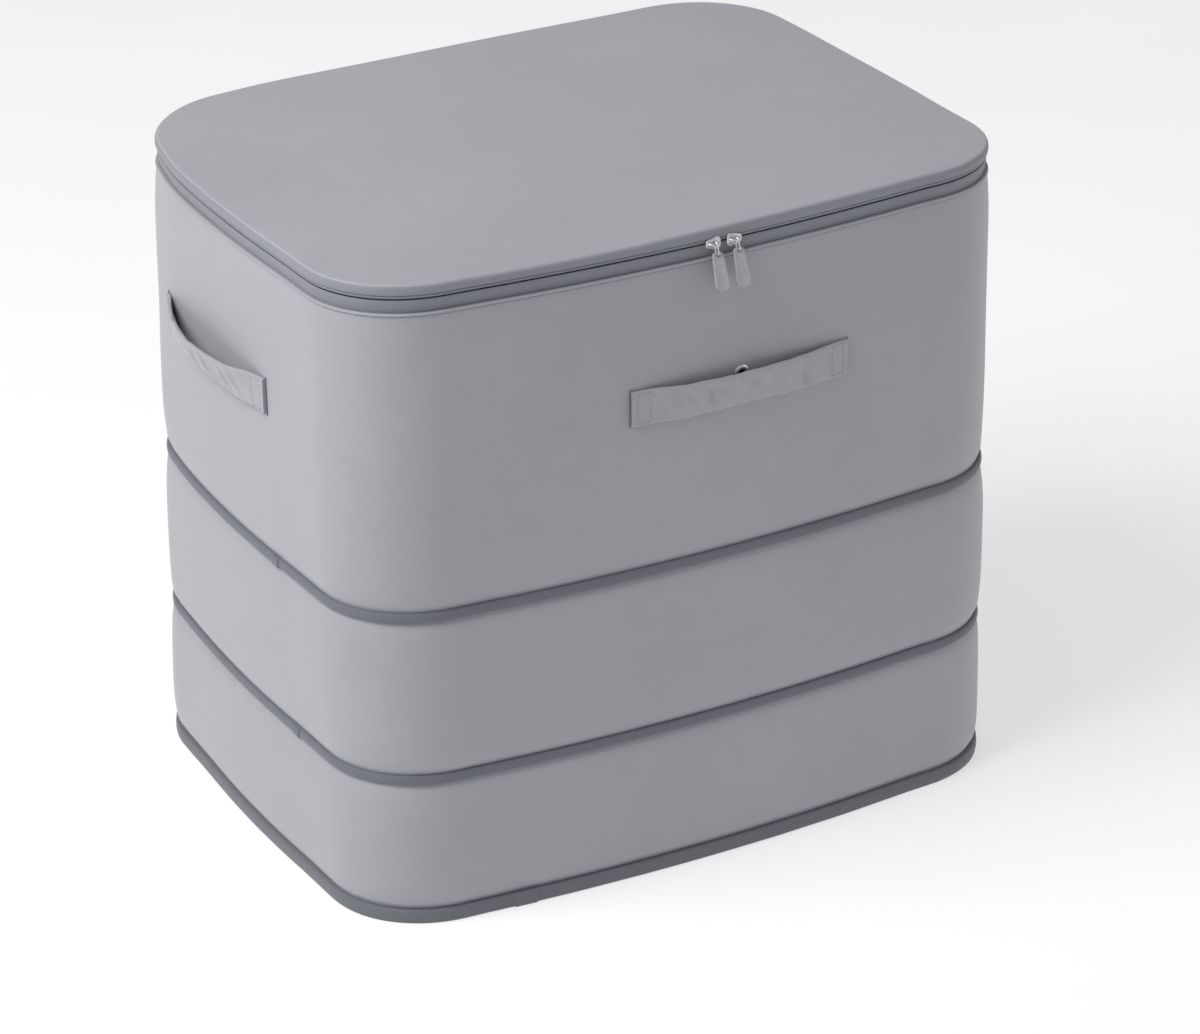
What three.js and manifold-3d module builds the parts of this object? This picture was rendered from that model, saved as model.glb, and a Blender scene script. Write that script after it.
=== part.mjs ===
// Fabric storage bin with a zipped lid.
// A rounded rectangular bin in three fabric sections, each edged by a flat steel hoop in a sewn binding.
// The two lower sections fold away inside the section above, the lid is zipped on three sides and hinged
// at the back, and a fabric strap handle is sewn to the front and to each end.
// Millimetres. +Z is up, the front faces -Y, and the origin is the middle of the base's underside.

import * as THREE from "three";
import { mergeVertices } from "three/addons/utils/BufferGeometryUtils.js";
import Module from "manifold-3d";

// Body outline: the outer face of the upper section.
const WIDTH = 500;
const DEPTH = 388;
const CORNER_RADIUS = 72;
const FRONT_BOW = 10; // the middle of the front stands out this far past its ends
const SIDE_BOW = 6;
const OUTLINE_STEPS = 4; // half the flats that each arc of the outline is cut into

// Fabric, and the clearances between pieces.
const FABRIC = 1.6; // coated cloth with its stiff backing
const SEAM_GAP = 0.3; // between pieces that are sewn or laid together
const NEST_GAP = 0.6; // between sections that slide inside each other
const FOLD_STOP = 0.5; // left between two bands when a section is folded away

// Heights of the sections.
const BASE_RIM_HEIGHT = 10;
const LOWER_BAND_Z = 104;
const UPPER_BAND_Z = 223;
const BAND_HEIGHT = 7;
const WALL_TOP = 440;
const ZIP_Z = 449.5; // middle of the zip's chain
const LID_TOP = 460;

// Bindings and the steel hoops inside them.
const BAND_PROUD = 2.4; // how far a band stands out of the upper section
const HOOP_THICKNESS = 0.8;
const HOOP_HEIGHT = 4.4;
const RIM_BINDING_HEIGHT = 10;
const INNER_BINDING_THICKNESS = 3;
const LID_HOOP_HEIGHT = 2.8;

// Base.
const BOARD_THICKNESS = 3;
const LINING_THICKNESS = 0.8;
const BOARD_PLAY = 0.8; // round the board's edge

// Zip.
const COIL_HEIGHT = 2.3;
const COIL_THICKNESS = 2.4;
const CHAIN_GAP = 1.4; // between the two halves of the chain
const TAPE_THICKNESS = 0.8;
const TAPE_BELOW_WALL_TOP = 8; // how far the tape runs down behind the wall's hem
const LID_PANEL_THICKNESS = 2.4;
const HINGE_WIDTH = 320; // the stretch of the back that isn't zipped
const HINGE_OUT = 0.8; // the fold line stands this far behind the back face
const STOP_WIDTH = 4;

// Sliders and pulls.
const SLIDERS_MEET_X = 12;
const SLIDER_SPACING = 15.5;
const SLIDER_LENGTH = 11;
const SLIDER_HALF_WIDTH = 4.6;
const SLIDER_TAIL_HALF_WIDTH = 3.1;
const SLIDER_PLATE = 1.6;
const SLIDER_INNER_PLATE = 1;
const SLIDER_CLEARANCE = 0.4;
const SLIDER_NOSE_ROUND = 2; // rounds the corners of the wide end
const SLIDER_PLATE_STEP = 1; // the inner plate is this much shorter at each end
const CROWN_CORNER = 1.4;
const CROWN_LEAN = 0.4;
const CROWN_LENGTH = 8.8;
const CROWN_WIDTH = 1.8;
const CROWN_BAR = 1.4;
const POST_LENGTH = 3;
const LINK_WIRE = 1.2;
const LINK_THICKNESS = 1.4;
const LINK_BORE_RADIUS = 1.5;
const LINK_REACH = 4.6; // between the centres of the link's two ends
const TAB_SHOULDER = 2; // cut off the corners beside the link
const TAB_SHOULDER_DROP = 3.5;
const TAB_WIDTH = 9.5;
const TAB_LENGTH = 27;
const TAB_THICKNESS = 1.8;
const TAB_BAR = 1.3;
const TAB_LIFT = 0.9; // the tab's bar stands this far off the end of the link's bore
const PULL_REST_ANGLE = 20; // degrees out from hanging straight down

// Handles.
const HANDLE_LENGTH = 163;
const HANDLE_HEIGHT = 25;
const HANDLE_TOP = 360;
const HANDLE_THICKNESS = 2.4;
const HANDLE_SEWN_END = 20;
const FRONT_HANDLE_X = 24;
const FRONT_HANDLE_BOW = 12;
const SIDE_HANDLE_BOW = 15;
const SIDE_HANDLE_Y = 18;
const HANDLE_SWING = 20; // degrees each way
const HANDLE_STEPS = 20;

// Vent eyelet in the front, behind the handle.
const EYELET_X = 24.5;
const EYELET_Z = 355;
const EYELET_FLANGE_RADIUS = 5.5;
const EYELET_BARREL_RADIUS = 3.2;
const EYELET_BORE_RADIUS = 2.6;
const EYELET_FLANGE = 0.9;
const WASHER_THICKNESS = 0.6;
const ROUND_STEPS = 24;

const OVERLAP = 0.2; // how far pieces reach into each other where they are joined into one

// The outline's arcs. The back is straight; the front and sides are shallow arcs that run into the corners.
const bowRadius = (chord, bow) => (chord * chord + 4 * bow * bow) / (8 * bow);
const frontRadius = bowRadius(WIDTH - 2 * CORNER_RADIUS, FRONT_BOW);
const sideRadius = bowRadius(DEPTH - 2 * CORNER_RADIUS, SIDE_BOW);
const frontCentreY = -DEPTH / 2 + frontRadius;
const sideCentreX = WIDTH / 2 - sideRadius; // of the right side; the left side is its mirror image
const frontCorner = meet(
  new THREE.Vector2(0, frontCentreY),
  frontRadius - CORNER_RADIUS,
  new THREE.Vector2(sideCentreX, 0),
  sideRadius - CORNER_RADIUS,
);
const backCornerY = DEPTH / 2 - CORNER_RADIUS;
const backCorner = new THREE.Vector2(
  sideCentreX + Math.sqrt((sideRadius - CORNER_RADIUS) ** 2 - backCornerY ** 2),
  backCornerY,
);
// Where one arc turns into the next, as the direction of the outline's outward normal.
const frontTurn = Math.atan2(frontCorner.y - frontCentreY, frontCorner.x);
const sideTurnFront = Math.atan2(frontCorner.y, frontCorner.x - sideCentreX);
const sideTurnBack = Math.atan2(backCorner.y, backCorner.x - sideCentreX);

// Where two circles meet, on the left of the way from the first one's centre to the second one's.
function meet(first, firstRadius, second, secondRadius) {
  const way = second.clone().sub(first);
  const distance = way.length();
  way.normalize();
  const along = (distance ** 2 + firstRadius ** 2 - secondRadius ** 2) / (2 * distance);
  const aside = Math.sqrt(firstRadius ** 2 - along ** 2);
  const left = new THREE.Vector2(-way.y, way.x);
  return first.clone().addScaledVector(way, along).addScaledVector(left, aside);
}

// Sizes that follow from those above. An inset is measured inwards from the body outline.
const NEST_STEP = FABRIC + NEST_GAP;
const middleInset = NEST_STEP;
const lowerInset = 2 * NEST_STEP;
const tapeInset = FABRIC + SEAM_GAP;
const coilInset = tapeInset + TAPE_THICKNESS - COIL_THICKNESS;
const innerBindingInset = tapeInset + TAPE_THICKNESS + SEAM_GAP;
const bodyCoilTop = ZIP_Z - CHAIN_GAP / 2;
const bodyCoilBottom = bodyCoilTop - COIL_HEIGHT;
const lidCoilBottom = ZIP_Z + CHAIN_GAP / 2;
const lidCoilTop = lidCoilBottom + COIL_HEIGHT;
const lidPanelBottom = LID_TOP - LID_PANEL_THICKNESS;
const lidTapeTop = lidPanelBottom - SEAM_GAP;
// The crown's bar stands off the slider's plate by the link's wire and a clearance.
const crownAxis = -(SLIDER_CLEARANCE + SLIDER_PLATE + SEAM_GAP + LINK_WIRE + LINK_BORE_RADIUS);

const fabric = { color: 0x9a9da3, roughness: 0.85, metalness: 0 };
const materials = {
  fabric,
  binding: { color: 0x7d8088, roughness: 0.8, metalness: 0 },
  board: { color: 0x4a4c50, roughness: 0.9, metalness: 0 },
  lining: { color: 0x8a8d92, roughness: 0.9, metalness: 0 },
  zip_tape: { color: 0x777b83, roughness: 0.85, metalness: 0 },
  zip_coil: { color: 0x83878f, roughness: 0.45, metalness: 0 },
  spring_steel: { color: 0x8b8d90, roughness: 0.35, metalness: 1 },
  nickel: { color: 0xc9cbd0, roughness: 0.25, metalness: 1 },
  pull_tab: { color: 0x94989f, roughness: 0.6, metalness: 0 },
};

const wasm = await Module();
wasm.setup();

// A closed geometry as a manifold-3d solid.
function solidOf(geometry) {
  const bare = new THREE.BufferGeometry();
  bare.setAttribute("position", geometry.getAttribute("position"));
  bare.setIndex(geometry.index);
  const merged = mergeVertices(bare, 1e-4);
  return new wasm.Manifold(
    new wasm.Mesh({
      numProp: 3,
      vertProperties: merged.attributes.position.array,
      triVerts: new Uint32Array(merged.index.array),
    }),
  );
}

// A manifold-3d solid back as a geometry.
function geometryOf(solid) {
  const mesh = solid.getMesh();
  const geometry = new THREE.BufferGeometry();
  geometry.setAttribute("position", new THREE.BufferAttribute(mesh.vertProperties, 3));
  geometry.setIndex(new THREE.BufferAttribute(mesh.triVerts, 1));
  geometry.computeVertexNormals();
  return geometry;
}

const cut = (geometry, ...tools) =>
  geometryOf(tools.reduce((solid, tool) => solid.subtract(solidOf(tool)), solidOf(geometry)));
const join = (geometry, ...others) =>
  geometryOf(others.reduce((solid, other) => solid.add(solidOf(other)), solidOf(geometry)));

const bin = new THREE.Group();

function piece(name, material, geometry, parent = bin) {
  const mesh = new THREE.Mesh(geometry, new THREE.MeshStandardMaterial(materials[material]));
  mesh.name = name;
  parent.add(mesh);
  return mesh;
}

// The body outline, moved inwards by inset, drawn on a Shape or a Path. Each arc runs on from the last.
function drawOutline(path, inset) {
  const corner = CORNER_RADIUS - inset;
  const front = frontRadius - inset;
  const side = sideRadius - inset;
  const half = Math.PI / 2;
  path.absarc(0, frontCentreY, front, -Math.PI - frontTurn, frontTurn);
  path.absarc(frontCorner.x, frontCorner.y, corner, frontTurn, sideTurnFront);
  path.absarc(sideCentreX, 0, side, sideTurnFront, sideTurnBack);
  path.absarc(backCorner.x, backCorner.y, corner, sideTurnBack, half);
  path.absarc(-backCorner.x, backCorner.y, corner, half, Math.PI - sideTurnBack);
  path.absarc(-sideCentreX, 0, side, Math.PI - sideTurnBack, Math.PI - sideTurnFront);
  path.absarc(-frontCorner.x, frontCorner.y, corner, Math.PI - sideTurnFront, Math.PI - frontTurn);
  return path;
}

function raise(shape, bottom, top) {
  const options = { depth: top - bottom, bevelEnabled: false, curveSegments: OUTLINE_STEPS };
  return new THREE.ExtrudeGeometry(shape, options).translate(0, 0, bottom);
}

const plate = (inset, bottom, top) => raise(drawOutline(new THREE.Shape(), inset), bottom, top);

// A group on the wall of an arc: x along the wall and -y out of the bin.
function onWall(centreX, centreY, radius, facing, along, height) {
  const hub = new THREE.Group();
  hub.position.set(centreX, centreY, height);
  hub.rotation.z = facing + along / radius;
  const seat = new THREE.Group();
  seat.position.y = -radius;
  hub.add(seat);
  bin.add(hub);
  return seat;
}

const onFront = (along, height) => onWall(0, frontCentreY, frontRadius, 0, along, height);

// A band that follows the body outline between two insets.
function ring(outerInset, innerInset, bottom, top) {
  const shape = drawOutline(new THREE.Shape(), outerInset);
  shape.holes.push(drawOutline(new THREE.Path(), innerInset));
  return raise(shape, bottom, top);
}

function box(low, high) {
  const size = high.map((value, axis) => value - low[axis]);
  const middle = high.map((value, axis) => (value + low[axis]) / 2);
  return new THREE.BoxGeometry(...size).translate(...middle);
}

// A binding with a steel hoop inside: the channel is open on the side that lies on the wall.
function hoopedBinding(sizes) {
  const { name, hoopName, outerInset, innerInset, bottom, top, opensInwards, hoopHeight } = sizes;
  const channelDepth = HOOP_THICKNESS + 2 * SEAM_GAP;
  const channelOuter = opensInwards ? innerInset - channelDepth : outerInset;
  const channelInner = channelOuter + channelDepth;
  const middle = (bottom + top) / 2;
  const channelHalf = hoopHeight / 2 + SEAM_GAP;
  // The cutter runs past the open side, so that it leaves no skin there.
  const past = FABRIC;
  const cutter = ring(
    opensInwards ? channelOuter : channelOuter - past,
    opensInwards ? channelInner + past : channelInner,
    middle - channelHalf,
    middle + channelHalf,
  );
  piece(name, "binding", cut(ring(outerInset, innerInset, bottom, top), cutter));
  const hoopOuter = channelOuter + SEAM_GAP;
  const hoop = ring(hoopOuter, hoopOuter + HOOP_THICKNESS, middle - hoopHeight / 2, middle + hoopHeight / 2);
  piece(hoopName, "spring_steel", hoop);
}

function makeBase() {
  const boardBottom = FABRIC + SEAM_GAP;
  const boardTop = boardBottom + BOARD_THICKNESS;
  const insideLowerWall = lowerInset + FABRIC;
  piece("base_panel", "fabric", plate(lowerInset, 0, FABRIC));
  piece("base_board", "board", plate(insideLowerWall + BOARD_PLAY, boardBottom, boardTop));
  piece(
    "base_lining",
    "lining",
    plate(insideLowerWall + SEAM_GAP, boardTop + SEAM_GAP, boardTop + SEAM_GAP + LINING_THICKNESS),
  );
  hoopedBinding({
    name: "base_rim_binding",
    hoopName: "base_hoop",
    outerInset: -BAND_PROUD,
    innerInset: lowerInset - SEAM_GAP,
    bottom: 0,
    top: BASE_RIM_HEIGHT,
    opensInwards: true,
    hoopHeight: HOOP_HEIGHT,
  });
}

// Each section's wall runs up inside the band of the section above it.
function makeSections() {
  const wall = (inset, bottom, top) => ring(inset, inset + FABRIC, bottom, top);
  piece("lower_wall", "fabric", wall(lowerInset, FABRIC + SEAM_GAP, LOWER_BAND_Z + BAND_HEIGHT));
  piece("middle_wall", "fabric", wall(middleInset, LOWER_BAND_Z, UPPER_BAND_Z + BAND_HEIGHT));
  const holeRadius = EYELET_BARREL_RADIUS + SEAM_GAP;
  const hole = new THREE.CylinderGeometry(holeRadius, holeRadius, 4 * FABRIC, ROUND_STEPS);
  hole.translate(0, -frontRadius, 0);
  hole.rotateZ(EYELET_X / frontRadius).translate(0, frontCentreY, EYELET_Z);
  piece("upper_wall", "fabric", cut(wall(0, UPPER_BAND_Z, WALL_TOP), hole));
  const bands = [
    { name: "lower_band", inset: middleInset, bottom: LOWER_BAND_Z },
    { name: "upper_band", inset: 0, bottom: UPPER_BAND_Z },
  ];
  for (const { name, inset, bottom } of bands)
    hoopedBinding({
      name,
      hoopName: name + "_hoop",
      outerInset: -BAND_PROUD,
      innerInset: inset - SEAM_GAP,
      bottom,
      top: bottom + BAND_HEIGHT,
      opensInwards: true,
      hoopHeight: HOOP_HEIGHT,
    });
  hoopedBinding({
    name: "rim_binding",
    hoopName: "rim_hoop",
    outerInset: innerBindingInset,
    innerInset: innerBindingInset + INNER_BINDING_THICKNESS,
    bottom: WALL_TOP - RIM_BINDING_HEIGHT,
    top: WALL_TOP,
    opensInwards: false,
    hoopHeight: HOOP_HEIGHT,
  });
}

// Removes the stretch of a ring that the hinge takes up, with a margin at each end.
function leaveHinge(geometry, margin) {
  const half = HINGE_WIDTH / 2 + margin;
  return cut(geometry, box([-half, 0, 0], [half, DEPTH, 2 * LID_TOP]));
}

// Only the stretch of a ring that the hinge takes up.
function onlyHinge(geometry) {
  const half = HINGE_WIDTH / 2;
  return geometryOf(solidOf(geometry).intersect(solidOf(box([-half, 0, 0], [half, DEPTH, 2 * LID_TOP]))));
}

function makeBodyZip() {
  const tape = ring(
    tapeInset,
    tapeInset + TAPE_THICKNESS,
    WALL_TOP - TAPE_BELOW_WALL_TOP,
    bodyCoilBottom - SEAM_GAP,
  );
  const coil = ring(coilInset, coilInset + COIL_THICKNESS, bodyCoilBottom, bodyCoilTop);
  piece("body_zip_tape", "zip_tape", leaveHinge(tape, SEAM_GAP));
  piece("body_zip_coil", "zip_coil", leaveHinge(coil, STOP_WIDTH + 2 * SEAM_GAP));
  const gusset = ring(0, FABRIC, WALL_TOP + SEAM_GAP, ZIP_Z - SEAM_GAP);
  piece("hinge_gusset_body", "fabric", onlyHinge(gusset));
  for (const [name, side] of [["zip_stop_left", -1], ["zip_stop_right", 1]]) {
    const near = side * (HINGE_WIDTH / 2 + SEAM_GAP);
    const far = near + side * STOP_WIDTH;
    const back = DEPTH / 2;
    const low = [Math.min(near, far), back - coilInset - COIL_THICKNESS, bodyCoilBottom];
    const high = [Math.max(near, far), back - coilInset, bodyCoilTop];
    piece(name, "nickel", box(low, high));
  }
}

function makeLid() {
  piece("lid_panel", "fabric", plate(0, lidPanelBottom, LID_TOP));
  const gussetBottom = lidCoilTop + SEAM_GAP;
  const gusset = ring(0, FABRIC, gussetBottom, lidTapeTop);
  piece("lid_gusset", "fabric", leaveHinge(gusset, SEAM_GAP));
  piece("hinge_gusset_lid", "fabric", onlyHinge(ring(0, FABRIC, ZIP_Z + SEAM_GAP, lidTapeTop)));
  const tape = ring(tapeInset, tapeInset + TAPE_THICKNESS, gussetBottom, lidTapeTop);
  piece("lid_zip_tape", "zip_tape", leaveHinge(tape, SEAM_GAP));
  const coil = ring(coilInset, coilInset + COIL_THICKNESS, lidCoilBottom, lidCoilTop);
  piece("lid_zip_coil", "zip_coil", leaveHinge(coil, STOP_WIDTH + 2 * SEAM_GAP));
  hoopedBinding({
    name: "lid_binding",
    hoopName: "lid_hoop",
    outerInset: innerBindingInset,
    innerInset: innerBindingInset + INNER_BINDING_THICKNESS,
    bottom: gussetBottom,
    top: lidTapeTop,
    opensInwards: false,
    hoopHeight: LID_HOOP_HEIGHT,
  });
}

// The slider's outer plate, wide at +x, where the two halves of the zip come together.
function sliderPlate() {
  const half = SLIDER_LENGTH / 2;
  const shoulder = half - SLIDER_NOSE_ROUND;
  const outline = new THREE.Shape();
  outline.moveTo(shoulder, -SLIDER_HALF_WIDTH);
  outline.quadraticCurveTo(half, -SLIDER_HALF_WIDTH, half, -SLIDER_HALF_WIDTH / 2);
  outline.lineTo(half, SLIDER_HALF_WIDTH / 2);
  outline.quadraticCurveTo(half, SLIDER_HALF_WIDTH, shoulder, SLIDER_HALF_WIDTH);
  outline.lineTo(-half, SLIDER_TAIL_HALF_WIDTH);
  outline.lineTo(-half, -SLIDER_TAIL_HALF_WIDTH);
  const options = { depth: SLIDER_PLATE, bevelEnabled: false, curveSegments: 3 };
  const geometry = new THREE.ExtrudeGeometry(outline, options);
  return geometry.rotateX(Math.PI / 2).translate(0, -SLIDER_CLEARANCE, 0);
}

// The arch on the plate that the pull's link hangs from.
function sliderCrown() {
  const base = -SLIDER_CLEARANCE - SLIDER_PLATE;
  const barInner = crownAxis + CROWN_BAR / 2;
  const barOuter = crownAxis - CROWN_BAR / 2;
  const reach = CROWN_LENGTH / 2;
  const shoulder = reach - CROWN_LEAN;
  const arch = new THREE.Shape();
  arch.moveTo(reach, base + OVERLAP);
  arch.lineTo(-reach, base + OVERLAP);
  arch.lineTo(-shoulder, barOuter + CROWN_CORNER);
  arch.lineTo(-shoulder + CROWN_CORNER, barOuter);
  arch.lineTo(shoulder - CROWN_CORNER, barOuter);
  arch.lineTo(shoulder, barOuter + CROWN_CORNER);
  const opening = new THREE.Path();
  opening.moveTo(-reach + CROWN_BAR, base);
  opening.lineTo(reach - CROWN_BAR, base);
  opening.lineTo(shoulder - CROWN_BAR, barInner);
  opening.lineTo(-shoulder + CROWN_BAR, barInner);
  arch.holes.push(opening);
  const options = { depth: CROWN_WIDTH, bevelEnabled: false };
  return new THREE.ExtrudeGeometry(arch, options).translate(0, 0, -CROWN_WIDTH / 2);
}

// A slider at its own origin: x along the zip, -y out of the bin.
function sliderGeometry() {
  const end = SLIDER_LENGTH / 2 - SLIDER_PLATE_STEP;
  const innerFace = innerBindingInset + OVERLAP;
  const innerHalf = SLIDER_HALF_WIDTH - SLIDER_PLATE_STEP;
  const innerTop = lidCoilTop - SEAM_GAP - ZIP_Z;
  const inner = box([-end, innerFace, -innerHalf], [end, innerFace + SLIDER_INNER_PLATE, innerTop]);
  const postHalf = CHAIN_GAP / 2 - SEAM_GAP;
  const post = box(
    [end - POST_LENGTH, -SLIDER_CLEARANCE - OVERLAP, -postHalf],
    [end, innerFace + OVERLAP, postHalf],
  );
  return join(sliderPlate(), sliderCrown(), post, inner);
}

// The link and tab hang from the origin, which is on the crown's bar.
function linkGeometry() {
  const outer = LINK_BORE_RADIUS + LINK_WIRE;
  const drawStadium = (path, radius) => {
    path.absarc(0, 0, radius, 0, Math.PI);
    path.absarc(0, -LINK_REACH, radius, Math.PI, 2 * Math.PI);
    path.closePath();
    return path;
  };
  const shape = drawStadium(new THREE.Shape(), outer);
  shape.holes.push(drawStadium(new THREE.Path(), LINK_BORE_RADIUS));
  const options = { depth: LINK_THICKNESS, bevelEnabled: false, curveSegments: 5 };
  const link = new THREE.ExtrudeGeometry(shape, options).translate(0, 0, -LINK_THICKNESS / 2);
  // The shape's x becomes y and its y becomes z, so the link stands across the zip.
  return link.rotateX(Math.PI / 2).rotateZ(Math.PI / 2);
}

// The tab's bar lies in the end of the link, and the link's wire passes through the tab's slot.
function tabGeometry() {
  const boreEnd = -LINK_REACH - LINK_BORE_RADIUS;
  const slotTop = boreEnd + TAB_LIFT;
  const slotBottom = boreEnd - LINK_WIRE - SEAM_GAP;
  const top = slotTop + TAB_BAR;
  const bottom = top - TAB_LENGTH;
  const half = TAB_WIDTH / 2;
  const shape = new THREE.Shape();
  shape.moveTo(-half + TAB_SHOULDER, top);
  shape.lineTo(-half, top - TAB_SHOULDER_DROP);
  shape.lineTo(-half, bottom + half);
  shape.absarc(0, bottom + half, half, Math.PI, 2 * Math.PI);
  shape.lineTo(half, top - TAB_SHOULDER_DROP);
  shape.lineTo(half - TAB_SHOULDER, top);
  const slotHalf = LINK_THICKNESS / 2 + SEAM_GAP;
  const slot = new THREE.Path();
  slot.moveTo(-slotHalf, slotBottom);
  slot.lineTo(slotHalf, slotBottom);
  slot.lineTo(slotHalf, slotTop);
  slot.lineTo(-slotHalf, slotTop);
  shape.holes.push(slot);
  const options = { depth: TAB_THICKNESS, bevelEnabled: false, curveSegments: 5 };
  return new THREE.ExtrudeGeometry(shape, options).translate(0, 0, -TAB_THICKNESS / 2).rotateX(Math.PI / 2);
}

function makeSlider(name, side) {
  const slider = onFront(SLIDERS_MEET_X + (side * SLIDER_SPACING) / 2, ZIP_Z);
  const body = piece(name + "_slider", "nickel", sliderGeometry(), slider);
  // The wide ends face each other, so the right slider is the left one turned over.
  if (side > 0) body.scale.x = -1;
  const pull = new THREE.Group();
  pull.position.y = crownAxis;
  pull.rotation.x = THREE.MathUtils.degToRad(-PULL_REST_ANGLE);
  piece(name + "_pull_link", "nickel", linkGeometry(), pull);
  piece(name + "_pull_tab", "pull_tab", tabGeometry(), pull);
  slider.add(pull);
}

// How far the strap's inner face stands off the wall, at a distance along the strap from its middle.
function strapGap(along, bow) {
  const free = HANDLE_LENGTH / 2 - HANDLE_SEWN_END;
  const share = Math.min(1, Math.abs(along) / free);
  return SEAM_GAP + (bow * (1 + Math.cos(Math.PI * share))) / 2;
}

// Half the length of the strap that can swing both ways without touching the wall.
function gripHalf(bow) {
  const swing = THREE.MathUtils.degToRad(HANDLE_SWING);
  const needed = (SEAM_GAP + (HANDLE_HEIGHT / 2) * Math.sin(swing)) / Math.cos(swing);
  const free = HANDLE_LENGTH / 2 - HANDLE_SEWN_END;
  return (free * Math.acos((2 * (needed - SEAM_GAP)) / bow - 1)) / Math.PI;
}

// A stretch of strap that follows a wall of the given radius, whose outer face touches the plane y = 0.
function strapGeometry(from, to, bow, steps, wallRadius) {
  const shape = new THREE.Shape();
  const add = (step, out) => {
    const along = from + ((to - from) * step) / steps;
    const radius = wallRadius + strapGap(along, bow) + out;
    const turn = along / wallRadius;
    const point = [radius * Math.sin(turn), wallRadius - radius * Math.cos(turn)];
    if (step === 0 && out === 0) shape.moveTo(...point);
    else shape.lineTo(...point);
  };
  for (let step = 0; step <= steps; step += 1) add(step, 0);
  for (let step = steps; step >= 0; step -= 1) add(step, HANDLE_THICKNESS);
  return raise(shape, -HANDLE_HEIGHT / 2, HANDLE_HEIGHT / 2);
}

function makeHandle({ name, ends, bow, seat, wallRadius }) {
  const grip = gripHalf(bow);
  const stretches = [
    { part: ends[0], from: -HANDLE_LENGTH / 2, to: -grip - SEAM_GAP, steps: HANDLE_STEPS / 2 },
    { part: "grip", from: -grip, to: grip, steps: HANDLE_STEPS },
    { part: ends[1], from: grip + SEAM_GAP, to: HANDLE_LENGTH / 2, steps: HANDLE_STEPS / 2 },
  ];
  for (const { part, from, to, steps } of stretches)
    piece(name + "_" + part, "fabric", strapGeometry(from, to, bow, steps, wallRadius), seat);
}

function makeHandles() {
  const height = HANDLE_TOP - HANDLE_HEIGHT / 2;
  makeHandle({
    name: "front_handle",
    ends: ["left_end", "right_end"],
    bow: FRONT_HANDLE_BOW,
    seat: onFront(FRONT_HANDLE_X, height),
    wallRadius: frontRadius,
  });
  makeHandle({
    name: "left_handle",
    ends: ["back_end", "front_end"],
    bow: SIDE_HANDLE_BOW,
    seat: onWall(-sideCentreX, 0, sideRadius, -Math.PI / 2, -SIDE_HANDLE_Y, height),
    wallRadius: sideRadius,
  });
  makeHandle({
    name: "right_handle",
    ends: ["front_end", "back_end"],
    bow: SIDE_HANDLE_BOW,
    seat: onWall(sideCentreX, 0, sideRadius, Math.PI / 2, SIDE_HANDLE_Y, height),
    wallRadius: sideRadius,
  });
}

// Turned about the wall's normal, from a profile of [radius, depth behind the wall's outer face].
function turned(profile) {
  const points = profile.map(([radius, depth]) => new THREE.Vector2(radius, depth));
  return new THREE.LatheGeometry([...points, points[0]], ROUND_STEPS);
}

function makeEyelet() {
  const seat = onFront(EYELET_X, EYELET_Z);
  const washerFront = FABRIC + SEAM_GAP;
  const barrelEnd = washerFront + WASHER_THICKNESS + SEAM_GAP;
  const washerBore = EYELET_BARREL_RADIUS + SEAM_GAP;
  piece(
    "vent_eyelet",
    "nickel",
    turned([
      [EYELET_BORE_RADIUS, barrelEnd],
      [EYELET_BORE_RADIUS, -SEAM_GAP - EYELET_FLANGE / 2],
      [(EYELET_BORE_RADIUS + EYELET_FLANGE_RADIUS) / 2, -SEAM_GAP - EYELET_FLANGE],
      [EYELET_FLANGE_RADIUS, -SEAM_GAP],
      [EYELET_BARREL_RADIUS, -SEAM_GAP],
      [EYELET_BARREL_RADIUS, barrelEnd],
    ]),
    seat,
  );
  piece(
    "vent_washer",
    "nickel",
    turned([
      [washerBore, washerFront],
      [EYELET_FLANGE_RADIUS, washerFront],
      [EYELET_FLANGE_RADIUS, washerFront + WASHER_THICKNESS],
      [washerBore, washerFront + WASHER_THICKNESS],
    ]),
    seat,
  );
}

makeBase();
makeSections();
makeBodyZip();
makeLid();
makeSlider("left", -1);
makeSlider("right", 1);
makeHandles();
makeEyelet();

export default bin;
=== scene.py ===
"""The fabric storage bin: cloth walls between hooped bands, a zipped lid, strap handles, metal parts."""

import math

import bpy
from mathutils import Matrix, Vector, noise


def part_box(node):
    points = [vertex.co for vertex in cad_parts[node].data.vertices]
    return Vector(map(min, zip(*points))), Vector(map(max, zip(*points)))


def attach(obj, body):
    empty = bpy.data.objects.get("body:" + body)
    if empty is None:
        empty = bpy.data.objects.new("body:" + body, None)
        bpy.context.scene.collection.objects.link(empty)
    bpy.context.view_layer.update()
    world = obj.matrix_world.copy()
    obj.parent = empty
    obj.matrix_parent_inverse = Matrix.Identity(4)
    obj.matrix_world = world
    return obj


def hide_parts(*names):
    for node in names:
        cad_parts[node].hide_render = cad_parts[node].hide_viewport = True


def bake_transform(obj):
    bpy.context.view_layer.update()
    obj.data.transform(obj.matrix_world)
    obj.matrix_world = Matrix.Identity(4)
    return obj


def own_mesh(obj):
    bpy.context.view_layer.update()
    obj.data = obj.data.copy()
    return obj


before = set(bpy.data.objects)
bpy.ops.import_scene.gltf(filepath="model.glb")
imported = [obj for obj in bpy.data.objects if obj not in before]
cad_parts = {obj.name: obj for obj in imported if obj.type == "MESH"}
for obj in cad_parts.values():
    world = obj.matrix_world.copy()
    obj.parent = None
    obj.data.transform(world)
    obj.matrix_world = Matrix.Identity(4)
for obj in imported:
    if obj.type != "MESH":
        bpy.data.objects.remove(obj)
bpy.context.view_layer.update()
MM = 0.001


# --- camera

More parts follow.
